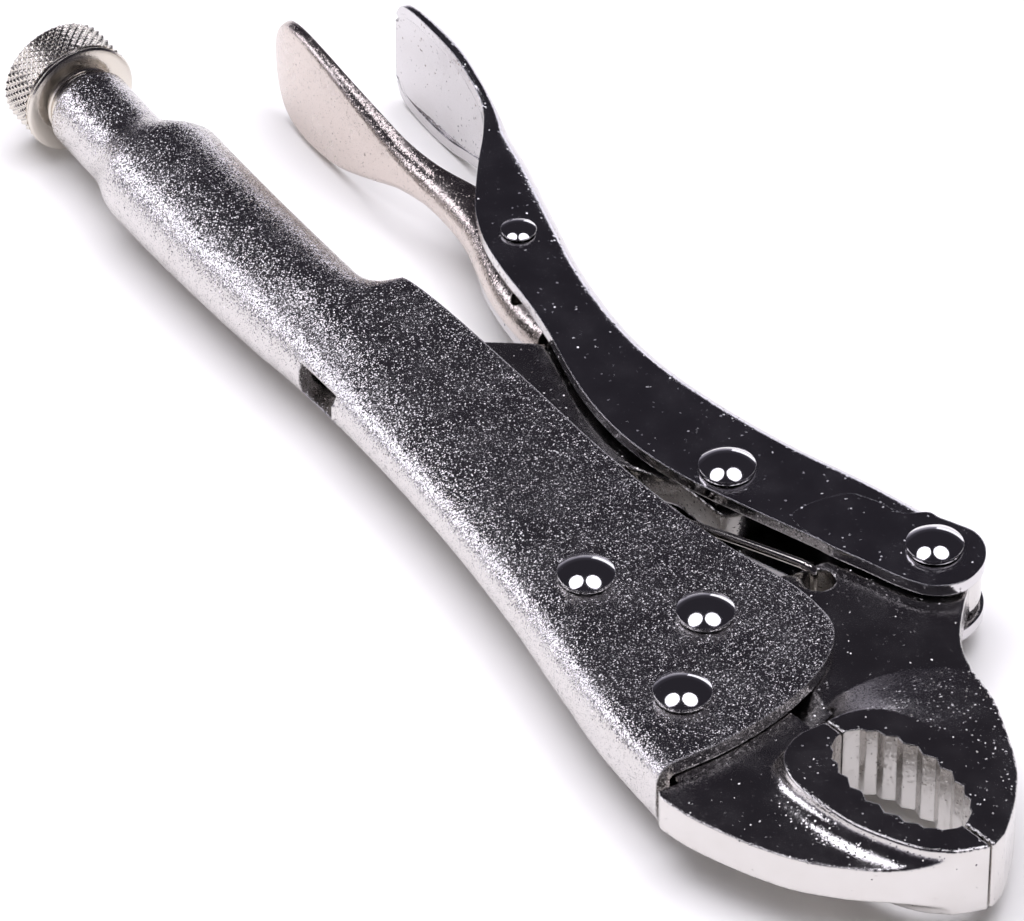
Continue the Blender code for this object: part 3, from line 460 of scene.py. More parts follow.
def make_moving_handle():
    sections = []
    for x in span(MOVING_SPINE[0][0], MOVING_SPINE[-1][0], 1.2):
        base, edge = track(MOVING_SPINE, x, 1), track(MOVING_EDGE, x, 1)
        half = HANDLE_HALF + track(MOVING_SPINE, x, 2)
        corner = min(MOVING_CORNER, (base - edge) * 0.7)
        sections.append((x, open_section(base, edge, half, corner, -1, 10, 10)))
    handle = pressed("moving_handle_shell", sections, MOVING_SHEET, opens_down=True, edge=0.4)
    middle = HANDLE_HALF - MOVING_SHEET / 2
    for side in (-1, 1):
        ear = plate("ear", closed(EAR_OUTLINE), MOVING_SHEET / 2 + 0.02, centre_z=side * middle)
        handle = combine(handle, ear, "UNION")
    handle = combine(handle, drill(TOGGLE_PIVOT, SHANK_RADIUS + CLEAR), "DIFFERENCE")
    return finished(handle, "moving_handle_body", ROLLED, ["moving_handle"])


def make_release_lever():
    sections = []
    for x in span(LEVER_TRACK[0][0], LEVER_TRACK[-1][0], 0.9):
        base, half, edge = (track(LEVER_TRACK, x, column) for column in (1, 2, 3))
        corner = min(LEVER_HALF - 0.4, (edge - base) * 0.8)
        sections.append((x, open_section(base, edge, half, corner, 1, 8, 8)))
    lever = pressed("release_lever_trough", sections, LEVER_SHEET, edge=0.35)
    lever = combine(lever, drill(LEVER_HOLE, LEVER_HOLE_RADIUS), "DIFFERENCE")
    lever = combine(lever, drill(LEVER_PIVOT, SMALL_SHANK + CLEAR), "DIFFERENCE")
    return finished(lever, "release_lever_body", TUMBLED, ["release_lever"])


def make_toggle_link():
    outline = smooth(LINK_TOP, 4) + arc(LINK_END, LINK_END_RADIUS, 100, 310, 16)
    outline += smooth(LINK_BOTTOM, 4) + arc(TOGGLE_PIVOT, LINK_EYE_RADIUS, -40, 130, 20)
    holes = [(TOGGLE_PIVOT, SHANK_RADIUS + CLEAR)]
    link = plate("toggle_link_plate", outline, LINK_HALF, holes)
    link = forged(link, LINK_GRAIN, FORGING_PASSES)
    return finished(link, "toggle_link_body", GROUND, ["toggle_link"])


# ---- jaws -----------------------------------------------------------------------------------
def parting(x):
    """y of the line where the closed jaws meet."""
    return NOSE_TIP[1] + (x - NOSE_TIP[0]) * sin(MOUTH_TILT)


def mouth_edge(side):
    """Toothed half of the oval mouth from its rear end to its front end."""
    points = []
    count = 2 * TOOTH_COUNT
    for k in range(count + 1):
        a = pi * (1 - k / count)
        scale = 1.0 if k % 2 or k in (0, count) else 1.0 - TOOTH_DEPTH / MOUTH_RADII[1]
        u = MOUTH_RADII[0] * cos(a)
        v = side * max(MOUTH_RADII[1] * scale * sin(a), PARTING_GAP / 2)
        points.append((MOUTH_CENTRE[0] + u * cos(MOUTH_TILT) - v * sin(MOUTH_TILT),
                       MOUTH_CENTRE[1] + u * sin(MOUTH_TILT) + v * cos(MOUTH_TILT)))
    return points


def fine_edge(side):
    """Fine teeth between the mouth and the nose."""
    start = mouth_edge(side)[-1][0]
    points = []
    for k in range(1, 2 * FINE_TOOTH_COUNT + 1):
        x = lerp(start, NOSE_TIP[0] - 0.4, k / (2 * FINE_TOOTH_COUNT))
        wave = FINE_TOOTH_DEPTH / 2 if k % 2 else -FINE_TOOTH_DEPTH / 2
        points.append((x, parting(x) + wave + side * PARTING_GAP / 2))
    return points


def jaw_floor(x):
    """Lowest y a jaw may have inside the fixed handle's round-cornered channel."""
    spine, corner = track(FIXED_SPINE, x, 1), track(FIXED_SPINE, x, 3)
    half = HANDLE_HALF + track(FIXED_SPINE, x, 2)
    corner_z = min(half - 0.5, corner)
    reach = min(0.98, max(0.0, (JAW_HALF - (half - corner_z)) / (corner_z - SHEET)))
    return spine + SHEET + (corner - SHEET) * (1 - sqrt(1 - reach * reach)) + 2 * CLEAR


def jaw_face_limits():
    """Slab of the shank with the raised land round the mouth and its scooped foot."""
    bm = bmesh.new()
    top = closed(LAND_OUTLINE, 5)
    rise = NOSE_HALF - JAW_HALF
    foot = [(JAW_HALF + rise * (1 - sin(a)), 1 - cos(a), sin(a))
            for a in (pi / 2 * k / 8 for k in range(9))]
    root = [(z, 1.0, 1.0) for z in (-JAW_HALF + 0.4, JAW_HALF - 0.4)]
    levels = sorted([(-z, scooped, sloped) for z, scooped, sloped in foot] + root + foot)
    rings = []
    for z, scooped, sloped in levels:
        ring = []
        for x, y, s in top:
            spread = lerp(scooped, sloped, ease((y - parting(x)) / 4.0))
            out = Vector((x - MOUTH_CENTRE[0], y - MOUTH_CENTRE[1])).normalized() * s * spread
            ring.append(bm.verts.new((x + out.x, y + out.y, z)))
        rings.append(ring)
    for low, high in zip(rings, rings[1:]):
        for k in range(len(low)):
            n = (k + 1) % len(low)
            bm.faces.new((low[k], low[n], high[n], high[k]))
    bm.faces.new(rings[-1])
    bm.faces.new(rings[0])
    bmesh.ops.recalc_face_normals(bm, faces=bm.faces)
    land = mesh_object("land", bm)
    return combine(block((-60, -60, -JAW_HALF), (100, 80, JAW_HALF)), land, "UNION")


def forge(name, outline, holes):
    """Jaw outline with its holes, cut down to the shank and the land round the mouth."""
    return combine(plate(name, outline, NOSE_HALF + 1.0, holes), jaw_face_limits(), "INTERSECT")


def broached(jaw, side):
    """The mouth and its teeth, cut crisp into the finished forging; side 1 is the moving jaw."""
    edge = mouth_edge(side) + fine_edge(side)
    beyond = -side * BEYOND_PARTING
    front = (BEYOND_NOSE_X, parting(BEYOND_NOSE_X))
    outline = edge + [front, (front[0], front[1] + beyond), (edge[0][0], edge[0][1] + beyond)]
    return combine(jaw, plate("broach", outline, NOSE_HALF + 3.0), "DIFFERENCE")


def make_fixed_jaw():
    seat = JAW_HUB_RADIUS + CLEAR
    start = -degrees(acos((parting(seat) - PARTING_GAP / 2) / seat) - pi / 2)
    rear, front = node_middle("jaw_rivet_rear"), node_middle("jaw_rivet_front")
    outline = smooth(FIXED_JAW_BACK)
    outline += [(NOSE_TIP[0], NOSE_TIP[1] - PARTING_GAP / 2)]
    outline += [(x, parting(x) - PARTING_GAP / 2) for x in (60.0, 46.0, 32.0)]
    outline += arc((0, 0), seat, start, -188, 48)
    outline += [(-15.0, -2.6), (-22.0, -4.0), (-24.6, -6.4), (-24.6, jaw_floor(-24.0) + 1.5)]
    outline += [(x, jaw_floor(x)) for x in span(-24.0, 27.2, 2.5)]
    outline += [(27.2, FIXED_JAW_BACK[0][1] + 0.6)]
    holes = [(rear, SHANK_RADIUS + CLEAR), (front, SHANK_RADIUS + CLEAR)]
    jaw = forged(forge("fixed_jaw_forging", outline, holes), JAW_GRAIN, FORGING_PASSES)
    jaw = broached(jaw, -1)
    return finished(jaw, "fixed_body", GROUND, ["fixed_jaw"])


def cutter_bevel(side):
    """What is ground off one face of the moving jaw to leave the wire cutter's edge."""
    rear, front = CUTTER_X
    slope = atan2(CUTTER_DEPTH, CUTTER_HEIGHT)
    lift = 3.0
    y = parting(CUTTER_MIDDLE_X) + CUTTER_HEIGHT / 2 - sin(slope) * lift
    z = side * (JAW_HALF - CUTTER_DEPTH / 2 + cos(slope) * lift)
    wedge = block((rear, y - 8, z - lift), (front, y + 8, z + lift), turn=side * slope)
    trim = block((rear - 1, y - 20, -20), (front + 3, parting(CUTTER_MIDDLE_X) + CUTTER_HEIGHT, 20))
    return combine(wedge, trim, "INTERSECT")


def make_moving_jaw():
    start = degrees(atan2(parting(JAW_HUB_RADIUS) + PARTING_GAP / 2, JAW_HUB_RADIUS))
    outline = [(x, parting(x) + PARTING_GAP / 2) for x in (32.0, 46.0, 60.0)]
    outline += [(NOSE_TIP[0], NOSE_TIP[1] + PARTING_GAP / 2)] + smooth(MOVING_JAW_BACK)[::-1]
    outline += arc(HANDLE_PIVOT, JAW_EAR_RADIUS, 14, 188, 24)
    outline += [(-3.6, 33.0), (-3.9, 26.0), (-3.9, 18.0), (-5.6, 13.6)]
    outline += arc((0, 0), JAW_HUB_RADIUS, HUB_BACK_ANGLE, 360 + start, 54)
    holes = [((0.0, 0.0), SHANK_RADIUS + CLEAR), (HANDLE_PIVOT, SHANK_RADIUS + CLEAR),
             (SPRING_EYE, SPRING_EYE_RADIUS)]
    jaw = forge("moving_jaw_forging", outline, holes)
    for side in (-1, 1):
        jaw = combine(jaw, cutter_bevel(side), "DIFFERENCE")
    jaw = broached(forged(jaw, JAW_GRAIN, FORGING_PASSES), 1)
    return finished(jaw, "moving_jaw_body", GROUND, ["moving_jaw"])


# ---- node trees -----------------------------------------------------------------------------
def add_node(tree, kind, settings=None, **links):
    """Adds a node, sets its properties and sockets, and links what is given as a socket."""
    node = tree.nodes.new(kind)
    for key, value in (settings or {}).items():
        setattr(node, key, value)
    for key, value in links.items():
        wanted = key.replace("_", " ").lower()
        names = [s for s in node.inputs if s.enabled and s.name.lower() == wanted]
        socket = node.inputs[int(key[1:])] if key[0] == "n" and key[1:].isdigit() else names[0]
        if isinstance(value, bpy.types.NodeSocket):
            tree.links.new(value, socket)
        else:
            socket.default_value = value
    return node


def linear(code):
    """Linear colour of an sRGB hex value."""
    parts = [int(code[k:k + 2], 16) / 255 for k in (0, 2, 4)]
    return (*(p / 12.92 if p <= 0.04045 else ((p + 0.055) / 1.055) ** 2.4 for p in parts), 1.0)


# ---- materials ------------------------------------------------------------------------------
def nickel(name, colours, roughness, layers, grains=(), wear=0.05, edge=0.35):
    """Nickel plate: two close tints in soft patches, noise relief, and facets that lean.

    A layer is a grain size and a depth in millimetres. A grain is a facet size in millimetres,
    how far the facets lean, and how rare those are that lean far: they are what sparkles. The
    edge radius is what tumbling leaves on the piece before plating.
    """
    mat = bpy.data.materials.new(name)
    mat.use_nodes = True
    tree = mat.node_tree
    shader = tree.nodes["Principled BSDF"]
    shader.inputs["Metallic"].default_value = 1.0
    place = add_node(tree, "ShaderNodeTexCoord").outputs["Object"]
    patches = add_node(tree, "ShaderNodeTexNoise", Vector=place, Scale=1 / (6 * MM), Detail=3.0)
    tint = add_node(tree, "ShaderNodeMix", {"data_type": "RGBA"}, n0=patches.outputs[0],
                    n6=linear(colours[0]), n7=linear(colours[1]))
    tree.links.new(tint.outputs[2], shader.inputs["Base Color"])
    spread = add_node(tree, "ShaderNodeMapRange", n0=patches.outputs[0], n1=0.35, n2=0.65,
                      n3=roughness - wear, n4=roughness + wear)
    tree.links.new(spread.outputs[0], shader.inputs["Roughness"])
    normal = add_node(tree, "ShaderNodeBevel", {"samples": 4}, Radius=edge * MM).outputs[0]
    for grain, depth in layers:
        noise = add_node(tree, "ShaderNodeTexNoise", Vector=place, Scale=1 / (grain * MM),
                         Detail=1.0)
        normal = add_node(tree, "ShaderNodeBump", Strength=1.0, Distance=depth * MM,
                          Height=noise.outputs[0], Normal=normal).outputs[0]
    vector = "ShaderNodeVectorMath"
    for size, lean, rarity in grains:
        facet = add_node(tree, "ShaderNodeTexVoronoi", Vector=place, Scale=1 / (size * MM))
        way = add_node(tree, vector, {"operation": "SUBTRACT"}, n0=facet.outputs["Color"],
                       n1=(0.5, 0.5, 0.5)).outputs[0]
        share = add_node(tree, vector, {"operation": "DOT_PRODUCT"}, n0=way, n1=way)
        rare = add_node(tree, "ShaderNodeMath", {"operation": "POWER"}, n0=share.outputs["Value"],
                        n1=rarity)
        amount = add_node(tree, "ShaderNodeMath", {"operation": "MULTIPLY"}, n0=rare.outputs[0],
                          n1=lean)
        tilt = add_node(tree, vector, {"operation": "SCALE"}, n0=way, Scale=amount.outputs[0])
        leaning = add_node(tree, vector, {"operation": "ADD"}, n0=normal, n1=tilt.outputs[0])
        normal = add_node(tree, vector, {"operation": "NORMALIZE"},
                          n0=leaning.outputs[0]).outputs[0]
    tree.links.new(normal, shader.inputs["Normal"])
    return mat


# Bright nickel on grit-blasted pressed steel. The grit leaves pits of 0.17 mm whose sides
# each catch the light alone, so the flat sides sparkle densely; real pits are half that size.
BLASTED = nickel("nickel_on_grit_blasted_steel", ("D0CCCA", "DEDBDA"), 0.20,
                 [(0.5, 0.02), (4.0, 0.05)], [(0.17, 1.5, 0.9), (0.35, 0.3, 1.0)], edge=0.5)
# Bright nickel on cold-rolled sheet. Rolling leaves it nearly smooth, with a slow waviness 5 mm
# long and a stray pit here and there, 0.3 mm across, which is a little coarser than real.
ROLLED = nickel("nickel_on_cold_rolled_steel", ("CFCCCC", "DDDBDD"), 0.16,
                [(5.0, 0.05)], [(0.30, 2.2, 3.0)])
# Bright nickel on pressed strip, for the release lever: warmer and duller than the handles, with
# the fine tooth of a surface that was only tumbled, 0.2 mm across and a little coarser than real
TUMBLED = nickel("nickel_on_tumbled_strip", ("CFC3BC", "DDD3CD"), 0.24,
                 [(3.0, 0.04)], [(0.20, 1.3, 1.4)])
# Bright nickel on a ground forging. Fine grinding grain 0.6 mm apart, drawn coarser than real,
# and sparse pits; it stays dark and clean on the flats and soft in the scoops.
GROUND = nickel("nickel_on_ground_forging", ("CDC9C5", "DCD9D7"), 0.17,
                [(0.6, 0.008), (4.0, 0.03)], [(0.26, 2.4, 2.9)])
# Polished nickel on headed rivets: almost a mirror, with a faint hammered unevenness
POLISHED = nickel("polished_nickel", ("DFDDDC", "E8E6E6"), 0.06, [(1.5, 0.006)],
                  wear=0.02, edge=0.2)
# Bright nickel on turned steel, for the knob, its collar and the screw: a little warm, and
# satin from tool marks 0.5 mm apart, drawn coarser than real
TURNED = nickel("nickel_on_turned_steel", ("D6CFC4", "E0DBD3"), 0.20, [(0.5, 0.02)], edge=0.15)
# Bright nickel on drawn spring wire: smooth along the wire, with long clean highlights
DRAWN = nickel("nickel_on_drawn_wire", ("D6D1C9", "E0DCD6"), 0.13, [(0.5, 0.008)], edge=0.1)


# ---- geometry node pieces -------------------------------------------------------------------
def node_piece(name, build, inputs, material, base=None):
    """Runs a geometry node tree on a mesh, or on none, and returns its result as a plain mesh."""
    tree = bpy.data.node_groups.new(name + "_nodes", "GeometryNodeTree")
    tree.interface.new_socket("Geometry", in_out="INPUT", socket_type="NodeSocketGeometry")
    tree.interface.new_socket("Geometry", in_out="OUTPUT", socket_type="NodeSocketGeometry")
    sockets = {}
    for key, value in inputs.items():
        kind = {int: "NodeSocketInt", float: "NodeSocketFloat"}.get(type(value), "NodeSocketObject")
        sockets[key] = tree.interface.new_socket(key, in_out="INPUT", socket_type=kind)
    entry = tree.nodes.new("NodeGroupInput")
    shape = build(tree, entry.outputs)
    real = add_node(tree, "GeometryNodeRealizeInstances", Geometry=shape)
    dressed = add_node(tree, "GeometryNodeSetMaterial", Geometry=real.outputs[0], Material=material)
    tree.links.new(dressed.outputs[0], tree.nodes.new("NodeGroupOutput").inputs[0])
    obj = mesh_object(name, base or bmesh.new())
    step = obj.modifiers.new("nodes", "NODES")
    step.node_group = tree
    for key, value in inputs.items():
        step[sockets[key].identifier] = value
    return baked(obj)


def revolved(name, profile, steps=64):
    """Round piece along Z from (radius, z) pairs that run down its outer side."""
    bm = bmesh.new()
    verts = [bm.verts.new((r, 0.0, z)) for r, z in profile]
    for a, b in zip(verts, verts[1:]):
        bm.edges.new((a, b))
    obj = mesh_object(name, bm)
    turn = obj.modifiers.new("turn", "SCREW")
    turn.steps = turn.render_steps = steps
    turn.use_merge_vertices = True
    turn.merge_threshold = WELD
    return baked(obj)


def rivet_form(name, head, height, rim, shank):
    """Rivet round the origin: each head is a cap of a sphere on a straight rim."""
    seat = HANDLE_HALF + CLEAR
    cap = height - rim
    ball = (head * head + cap * cap) / (2 * cap)
    widest = asin(head / ball)
    dome = [(ball * sin(a), seat + height - ball * (1 - cos(a)))
            for a in (widest * k / 16 for k in range(17))]
    upper = dome + [(head, seat + 0.2), (head - 0.15, seat), (shank, seat)]
    profile = upper + [(r, -z) for r, z in reversed(upper)]
    profile[0], profile[-1] = (0.0, profile[0][1]), (0.0, profile[-1][1])
    return revolved(name, profile)


def make_rivets(body, big_nodes, small_nodes=()):
    """One body's rivets: two forms set on points, one point for each rivet."""
    def set_on_points(tree, given):
        small = add_node(tree, "GeometryNodeInputNamedAttribute", {"data_type": "BOOLEAN"},
                         Name="small").outputs[0]
        big = add_node(tree, "FunctionNodeBooleanMath", {"operation": "NOT"}, n0=small).outputs[0]
        together = add_node(tree, "GeometryNodeJoinGeometry")
        for key, chosen in (("small_rivet", small), ("big_rivet", big)):
            form = add_node(tree, "GeometryNodeObjectInfo", Object=given[key])
            placed = add_node(tree, "GeometryNodeInstanceOnPoints", Points=given["Geometry"],
                              Selection=chosen, Instance=form.outputs["Geometry"])
            tree.links.new(placed.outputs[0], together.inputs[0])
        return together.outputs[0]

    points = bmesh.new()
    small_mark = points.verts.layers.bool.new("small")
    for node in list(big_nodes) + list(small_nodes):
        points.verts.new((*node_middle(node), 0.0))[small_mark] = node in small_nodes
    big_form = rivet_form("big_form", HEAD_RADIUS, HEAD_HEIGHT, HEAD_RIM, SHANK_RADIUS)
    small_form = rivet_form("small_form", SMALL_RADIUS, SMALL_HEIGHT, SMALL_RIM, SMALL_SHANK)
    forms = {"big_rivet": big_form, "small_rivet": small_form}
    rivets = node_piece(body + "_rivets", set_on_points, forms, POLISHED, points)
    for form in forms.values():
        bpy.data.objects.remove(form)
    finished(rivets, body, POLISHED, [*big_nodes, *small_nodes], sharp=50)


def rolled_grid(tree, given, relief):
    """A closed round bar from a rolled-up grid, its radius given over the angle and the length."""
    grid = add_node(tree, "GeometryNodeMeshGrid", n0=given["length"], n1=2 * pi,
                    n2=given["rings"], n3=given["sides"])
    at = add_node(tree, "ShaderNodeSeparateXYZ",
                  Vector=add_node(tree, "GeometryNodeInputPosition").outputs[0])
    along, turn = at.outputs[0], at.outputs[1]
    way_out = add_node(tree, "ShaderNodeMath", {"operation": "ABSOLUTE"}, n0=along)
    end = add_node(tree, "ShaderNodeMath", {"operation": "MULTIPLY_ADD"}, n0=given["length"],
                   n1=0.5, n2=-0.001)
    inside = add_node(tree, "ShaderNodeMath", {"operation": "LESS_THAN"}, n0=way_out.outputs[0],
                      n1=end.outputs[0])
    radius = add_node(tree, "ShaderNodeMath", {"operation": "MULTIPLY"}, n0=relief(along, turn),
                      n1=inside.outputs[0])
    across = []
    for operation in ("COSINE", "SINE"):
        wave = add_node(tree, "ShaderNodeMath", {"operation": operation}, n0=turn)
        across.append(add_node(tree, "ShaderNodeMath", {"operation": "MULTIPLY"},
                               n0=radius.outputs[0], n1=wave.outputs[0]).outputs[0])
    place = add_node(tree, "ShaderNodeCombineXYZ", n0=along, n1=across[0], n2=across[1])
    rolled = add_node(tree, "GeometryNodeSetPosition", Geometry=grid.outputs[0],
                      Position=place.outputs[0])
    return add_node(tree, "GeometryNodeFlipFaces", Mesh=rolled.outputs[0]).outputs[0]


KNOB_RADIUS, KNURL_LENGTH, COLLAR_LENGTH, HUB_RADIUS = 9.9, 8.0, 2.2, 6.0
KNOB_FACE_X = NECK_END_X - 1.6
KNURL_DEPTH, KNURL_COUNT = 0.42, 44    # diamonds of about 1.4 mm, as a medium knurl has
THREAD_PITCH, THREAD_DEPTH, SCREW_RADIUS = 1.5, 0.55, 4.4


def make_knob():
    def knurl(tree, given):
        def relief(along, turn):
            """Two opposed sets of helical grooves leave rows of small pyramids."""
            twist = add_node(tree, "ShaderNodeMath", {"operation": "MULTIPLY"}, n0=along,
                             n1=given["twist"]).outputs[0]
            spin = add_node(tree, "ShaderNodeMath", {"operation": "MULTIPLY"}, n0=turn,
                            n1=given["count"]).outputs[0]
            ridges = []
            for operation in ("ADD", "SUBTRACT"):
                phase = add_node(tree, "ShaderNodeMath", {"operation": operation}, n0=spin,
                                 n1=twist)
                ridges.append(add_node(tree, "ShaderNodeMath", {"operation": "PINGPONG"},
                                       n0=phase.outputs[0], n1=pi).outputs[0])
            low = add_node(tree, "ShaderNodeMath", {"operation": "MINIMUM"}, n0=ridges[0],
                           n1=ridges[1])
            return add_node(tree, "ShaderNodeMapRange", n0=low.outputs[0], n1=0.0, n2=pi,
                            n3=given["valley_radius"], n4=given["radius"]).outputs[0]
        return rolled_grid(tree, given, relief)

    band = node_piece("knurl", knurl, {
        "length": KNURL_LENGTH - 1.0, "rings": 61, "sides": KNURL_COUNT * 10 + 1,
        "radius": KNOB_RADIUS, "valley_radius": KNOB_RADIUS - KNURL_DEPTH,
        "count": float(KNURL_COUNT), "twist": KNURL_COUNT / KNOB_RADIUS * 0.9}, TURNED)
    band.data.transform(Matrix.Translation((KNOB_FACE_X - COLLAR_LENGTH - KNURL_LENGTH / 2,
                                            SCREW_AXIS_Y, 0)))
    finished(band, "adjusting_knob_body", TURNED, sharp=30)
    back = -KNURL_LENGTH - COLLAR_LENGTH
    rim = KNOB_RADIUS - KNURL_DEPTH - 0.02
    core = revolved("knob_core", [
        (0.0, 0.1), (HUB_RADIUS - 0.4, 0.1), (HUB_RADIUS, -0.3), (HUB_RADIUS, -0.9),
        (HUB_RADIUS + 0.3, -1.1), (KNOB_RADIUS - 1.2, -1.15), (KNOB_RADIUS - 0.4, -1.35),
        (KNOB_RADIUS - 0.1, -1.7), (KNOB_RADIUS - 0.25, -COLLAR_LENGTH + 0.1),
        (rim - 0.3, -COLLAR_LENGTH - 0.1), (rim, -COLLAR_LENGTH - 0.5), (rim, back + 0.5),
        (rim - 0.6, back + 0.1), (rim - 1.0, back), (4.2, back), (3.4, back + 0.35),
        (0.0, back + 0.35)], 96)
    core.data.transform(Matrix.Translation((KNOB_FACE_X, SCREW_AXIS_Y, 0))
                        @ Matrix.Rotation(pi / 2, 4, "Y"))
    finished(core, "adjusting_knob_body", TURNED, ["adjusting_knob"], sharp=28)


def make_screw():
    tip_x = node_limit("adjusting_screw", 0, 1)
    start_x = KNOB_FACE_X + 0.4
    nose_radius, nose = 3.1, 7.0
    length = tip_x - nose - start_x

    def thread(tree, given):
        def relief(along, turn):
            """A single helical groove, V shaped."""
            phase = add_node(tree, "ShaderNodeMath", {"operation": "MULTIPLY_ADD"}, n0=along,
                             n1=given["turns_per_mm"], n2=turn)
            groove = add_node(tree, "ShaderNodeMath", {"operation": "PINGPONG"},
                              n0=phase.outputs[0], n1=pi)
            return add_node(tree, "ShaderNodeMapRange", n0=groove.outputs[0], n1=0.0, n2=pi,
                            n3=given["radius"], n4=given["valley_radius"]).outputs[0]
        return rolled_grid(tree, given, relief)

    screw = node_piece("screw_thread", thread, {
        "length": length, "rings": int(length / THREAD_PITCH * 8) + 1, "sides": 41,
        "radius": SCREW_RADIUS, "valley_radius": SCREW_RADIUS - THREAD_DEPTH,
        "turns_per_mm": 2 * pi / THREAD_PITCH}, TURNED)
    screw.data.transform(Matrix.Translation((start_x + length / 2, SCREW_AXIS_Y, 0)))
    finished(screw, "adjusting_screw_body", TURNED, sharp=60)
    core = SCREW_RADIUS - THREAD_DEPTH
    profile = [(nose_radius * sin(a), tip_x - nose_radius * 0.8 * (1 - cos(a)))
               for a in (pi / 2 * k / 10 for k in range(11))]
    profile += [(nose_radius, tip_x - nose), (core - 0.02, tip_x - nose - 0.5),
                (core - 0.02, start_x), (0.0, start_x)]
    rod = revolved("screw_rod", profile, 48)
    rod.data.transform(Matrix.Translation((0, SCREW_AXIS_Y, 0)) @ Matrix.Rotation(pi / 2, 4, "Y"))
    finished(rod, "adjusting_screw_body", TURNED, ["adjusting_screw"])


# ---- spring ---------------------------------------------------------------------------------
WIRE_RADIUS, COIL_RADIUS, COIL_TURNS, COIL_POINTS = 0.75, 2.3, 13, 24
FRONT_LEG, REAR_LEG = 24.0, 17.0
HOOK_HALF_WIDTH, HOOK_SETBACK = 2.4, 2.1


def spring_ends():
    """Middle of the wire in the jaw's hole and behind the tab."""
    reach = SPRING_EYE_RADIUS - WIRE_RADIUS - CLEAR
    front = Vector((SPRING_EYE[0] - reach * 0.9, SPRING_EYE[1] - 0.1, 0.0))
    root, tip = spring_tab()
    setback = HOOK_SETBACK + CLEAR + 2 * WIRE_RADIUS
    rear = Vector((lerp(root.x, tip.x, 0.6) - setback, lerp(root.y, tip.y, 0.58), 0.0))
    return front, rear


def spring_path():
    """Middle of the wire: hook in the jaw's hole, straight leg, coils, and hook round the tab."""
    front, rear = spring_ends()
    axis = (rear - front).normalized()
    side = Vector((0, 0, 1)).cross(axis)
    over = JAW_HALF + CLEAR + WIRE_RADIUS + 0.1
    grip = HOOK_HALF_WIDTH

    def at(distance, height, sideways=0.0):
        return tuple(front + axis * distance + Vector((0, 0, height)) + side * sideways)

    start, total = FRONT_LEG, (rear - front).length
    end = total - REAR_LEG
    lead = [at(0.0, -JAW_HALF - 0.6), at(0.0, 0.0), at(0.0, over - 1.0), at(0.5, over - 0.2),
            at(1.4, over), at(3.4, over), at(start * 0.6, lerp(over, COIL_RADIUS, 0.5)),
            at(start - 2.0, COIL_RADIUS + 0.1)]
    steps = COIL_TURNS * COIL_POINTS
    helix = [at(lerp(start, end, k / steps), COIL_RADIUS * cos(2 * pi * k / COIL_POINTS),
                COIL_RADIUS * sin(2 * pi * k / COIL_POINTS)) for k in range(steps + 1)]
    hook = [at(end + 4.0, grip - 0.1), at(total - grip, grip)]
    hook += [at(total - grip + grip * sin(a), grip * cos(a))
             for a in (radians(15 + 15 * k) for k in range(11))]
    hook += [at(total - grip, -grip), at(total - grip - 2.5, -grip + 0.2)]
    return smooth(lead + helix[:1], 6)[:-1] + helix + smooth(helix[-1:] + hook, 6)[1:]


def make_spring():
    def wire_along(tree, given):
        route = add_node(tree, "GeometryNodeMeshToCurve", Mesh=given["Geometry"])
        ring = add_node(tree, "GeometryNodeCurvePrimitiveCircle", Resolution=given["sides"],
                        Radius=given["wire_radius"])
        return add_node(tree, "GeometryNodeCurveToMesh", Curve=route.outputs[0],
                        Profile_Curve=ring.outputs[0], Fill_Caps=True).outputs[0]

    route = bmesh.new()
    verts = [route.verts.new(point) for point in spring_path()]
    for a, b in zip(verts, verts[1:]):
        route.edges.new((a, b))
    spring = node_piece("spring_wire", wire_along, {"sides": 14, "wire_radius": WIRE_RADIUS},
                        DRAWN, route)
    finished(spring, "fixed_body", DRAWN, ["tension_spring"], sharp=60)
    # the spring gets a mesh of its own; its ends are worked out here but are not used
    front, rear = spring_ends()
    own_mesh(spring)


make_fixed_handle()
make_moving_handle()
make_release_lever()
make_toggle_link()
make_fixed_jaw()
make_moving_jaw()
make_rivets("fixed_body", ["jaw_rivet_rear", "jaw_rivet_front", "jaw_pivot_rivet"])
make_rivets("moving_handle_body", ["handle_pivot_rivet", "toggle_pivot_rivet"],
            ["release_lever_rivet"])
make_knob()
make_screw()
make_spring()


# ---- floor, light and camera ----------------------------------------------------------------
def make_floor():
    bm = bmesh.new()
    bmesh.ops.create_grid(bm, x_segments=1, y_segments=1, size=6.0)
    floor = mesh_object("floor", bm)
    floor.location.z = -0.0004
    mat = bpy.data.materials.new("white_paper")
    mat.use_nodes = True
    mat.node_tree.nodes["Principled BSDF"].inputs["Base Color"].default_value = linear("F7F5EF")
    mat.node_tree.nodes["Principled BSDF"].inputs["Roughness"].default_value = 0.9
    floor.data.materials.append(mat)


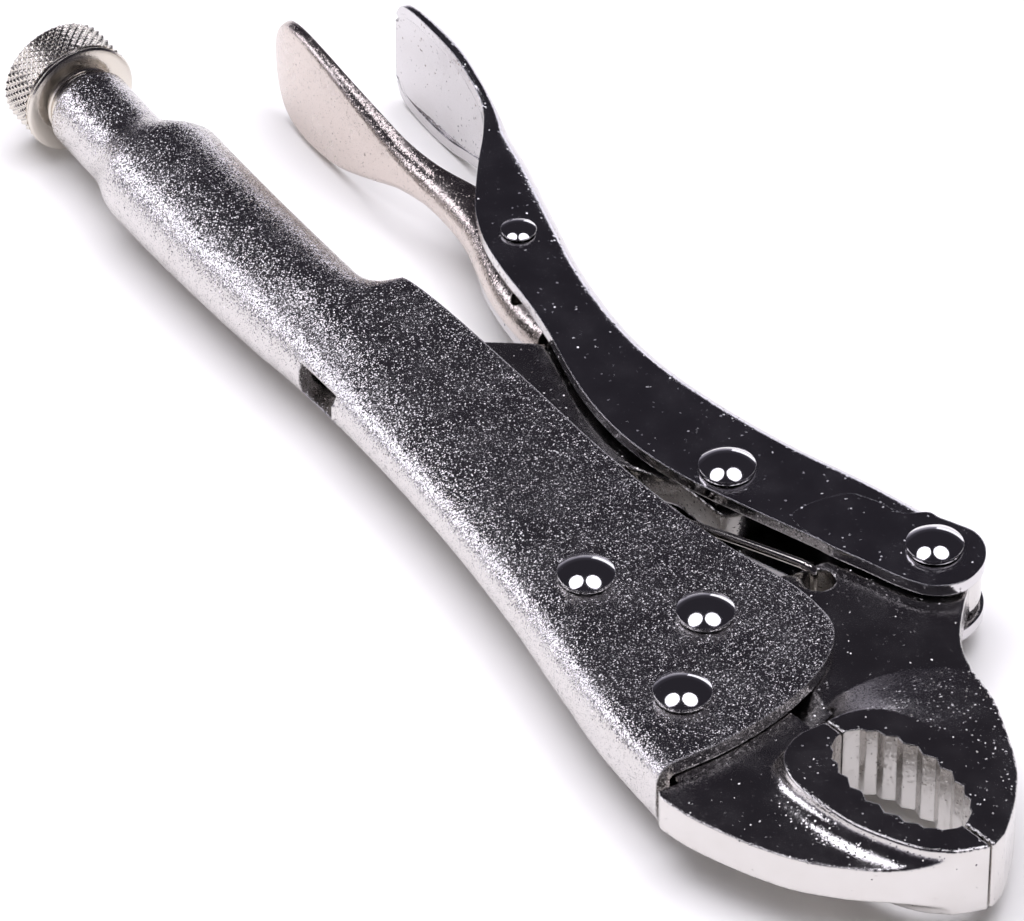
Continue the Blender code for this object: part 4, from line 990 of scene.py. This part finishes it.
def make_world():
    """Grey walls that fade to a dark ceiling, which the flat upper faces mirror."""
    world = bpy.data.worlds.new("studio")
    bpy.context.scene.world = world
    world.use_nodes = True
    tree = world.node_tree
    direction = add_node(tree, "ShaderNodeTexCoord").outputs["Generated"]
    height = add_node(tree, "ShaderNodeSeparateXYZ", Vector=direction).outputs[2]
    ramp = add_node(tree, "ShaderNodeValToRGB", Fac=height)
    stops = ramp.color_ramp.elements
    stops[0].position, stops[0].color = 0.02, linear("B4B1C0")
    stops[1].position, stops[1].color = 0.40, linear("2C2A31")
    fade = stops.new(0.20)
    fade.color = linear("413F48")
    tree.links.new(ramp.outputs[0], tree.nodes["Background"].inputs["Color"])
    tree.nodes["Background"].inputs["Strength"].default_value = 1.0


def area_light(name, place, size, power, spin=None, seen_in_metal=True, shape="RECTANGLE"):
    """Soft box turned to the object, or facing straight down and spun by the given degrees."""
    data = bpy.data.lights.new(name, "AREA")
    data.shape = shape
    data.size, data.size_y = size
    data.energy = power
    data.color = linear("F4F3FF")[:3]
    light = add_object(name, data)
    light.location = place
    if spin is None:
        light.rotation_euler = Vector(place).to_track_quat("Z", "Y").to_euler()
    else:
        light.rotation_euler.z = radians(spin)
    light.visible_camera = False
    light.visible_glossy = seen_in_metal


CAMERA_PLACE, CAMERA_LENS = (0.8467, -0.5236, 0.8374), 290.46
CAMERA_LOOKS_DOWN, CAMERA_HEADING = 39.963, 58.779


def make_camera():
    data = bpy.data.cameras.new("camera")
    data.sensor_width = 36.0
    data.lens = CAMERA_LENS
    data.clip_end = 50.0
    camera = add_object("camera", data)
    camera.location = CAMERA_PLACE
    camera.rotation_euler = (radians(90 - CAMERA_LOOKS_DOWN), 0.0, radians(CAMERA_HEADING))
    bpy.context.scene.camera = camera


make_floor()
make_world()
area_light("top_soft_box", (0.0, 0.0, 1.6), (2.0, 2.0), 42, spin=0, seen_in_metal=False)
area_light("left_soft_box", (-1.35, -1.45, 0.85), (1.5, 0.75), 9.0)
area_light("rear_soft_box", (-1.35, 1.86, 0.27), (1.35, 0.42), 2.4)
area_light("front_soft_box", (-0.56, -0.50, 2.0), (1.1, 1.15), 7.4, spin=57, shape="ELLIPSE")
area_light("side_soft_box", (0.14, 0.58, 2.0), (1.1, 1.15), 7.4, spin=57, shape="ELLIPSE")
make_camera()
bpy.context.scene.view_settings.view_transform = "Standard"
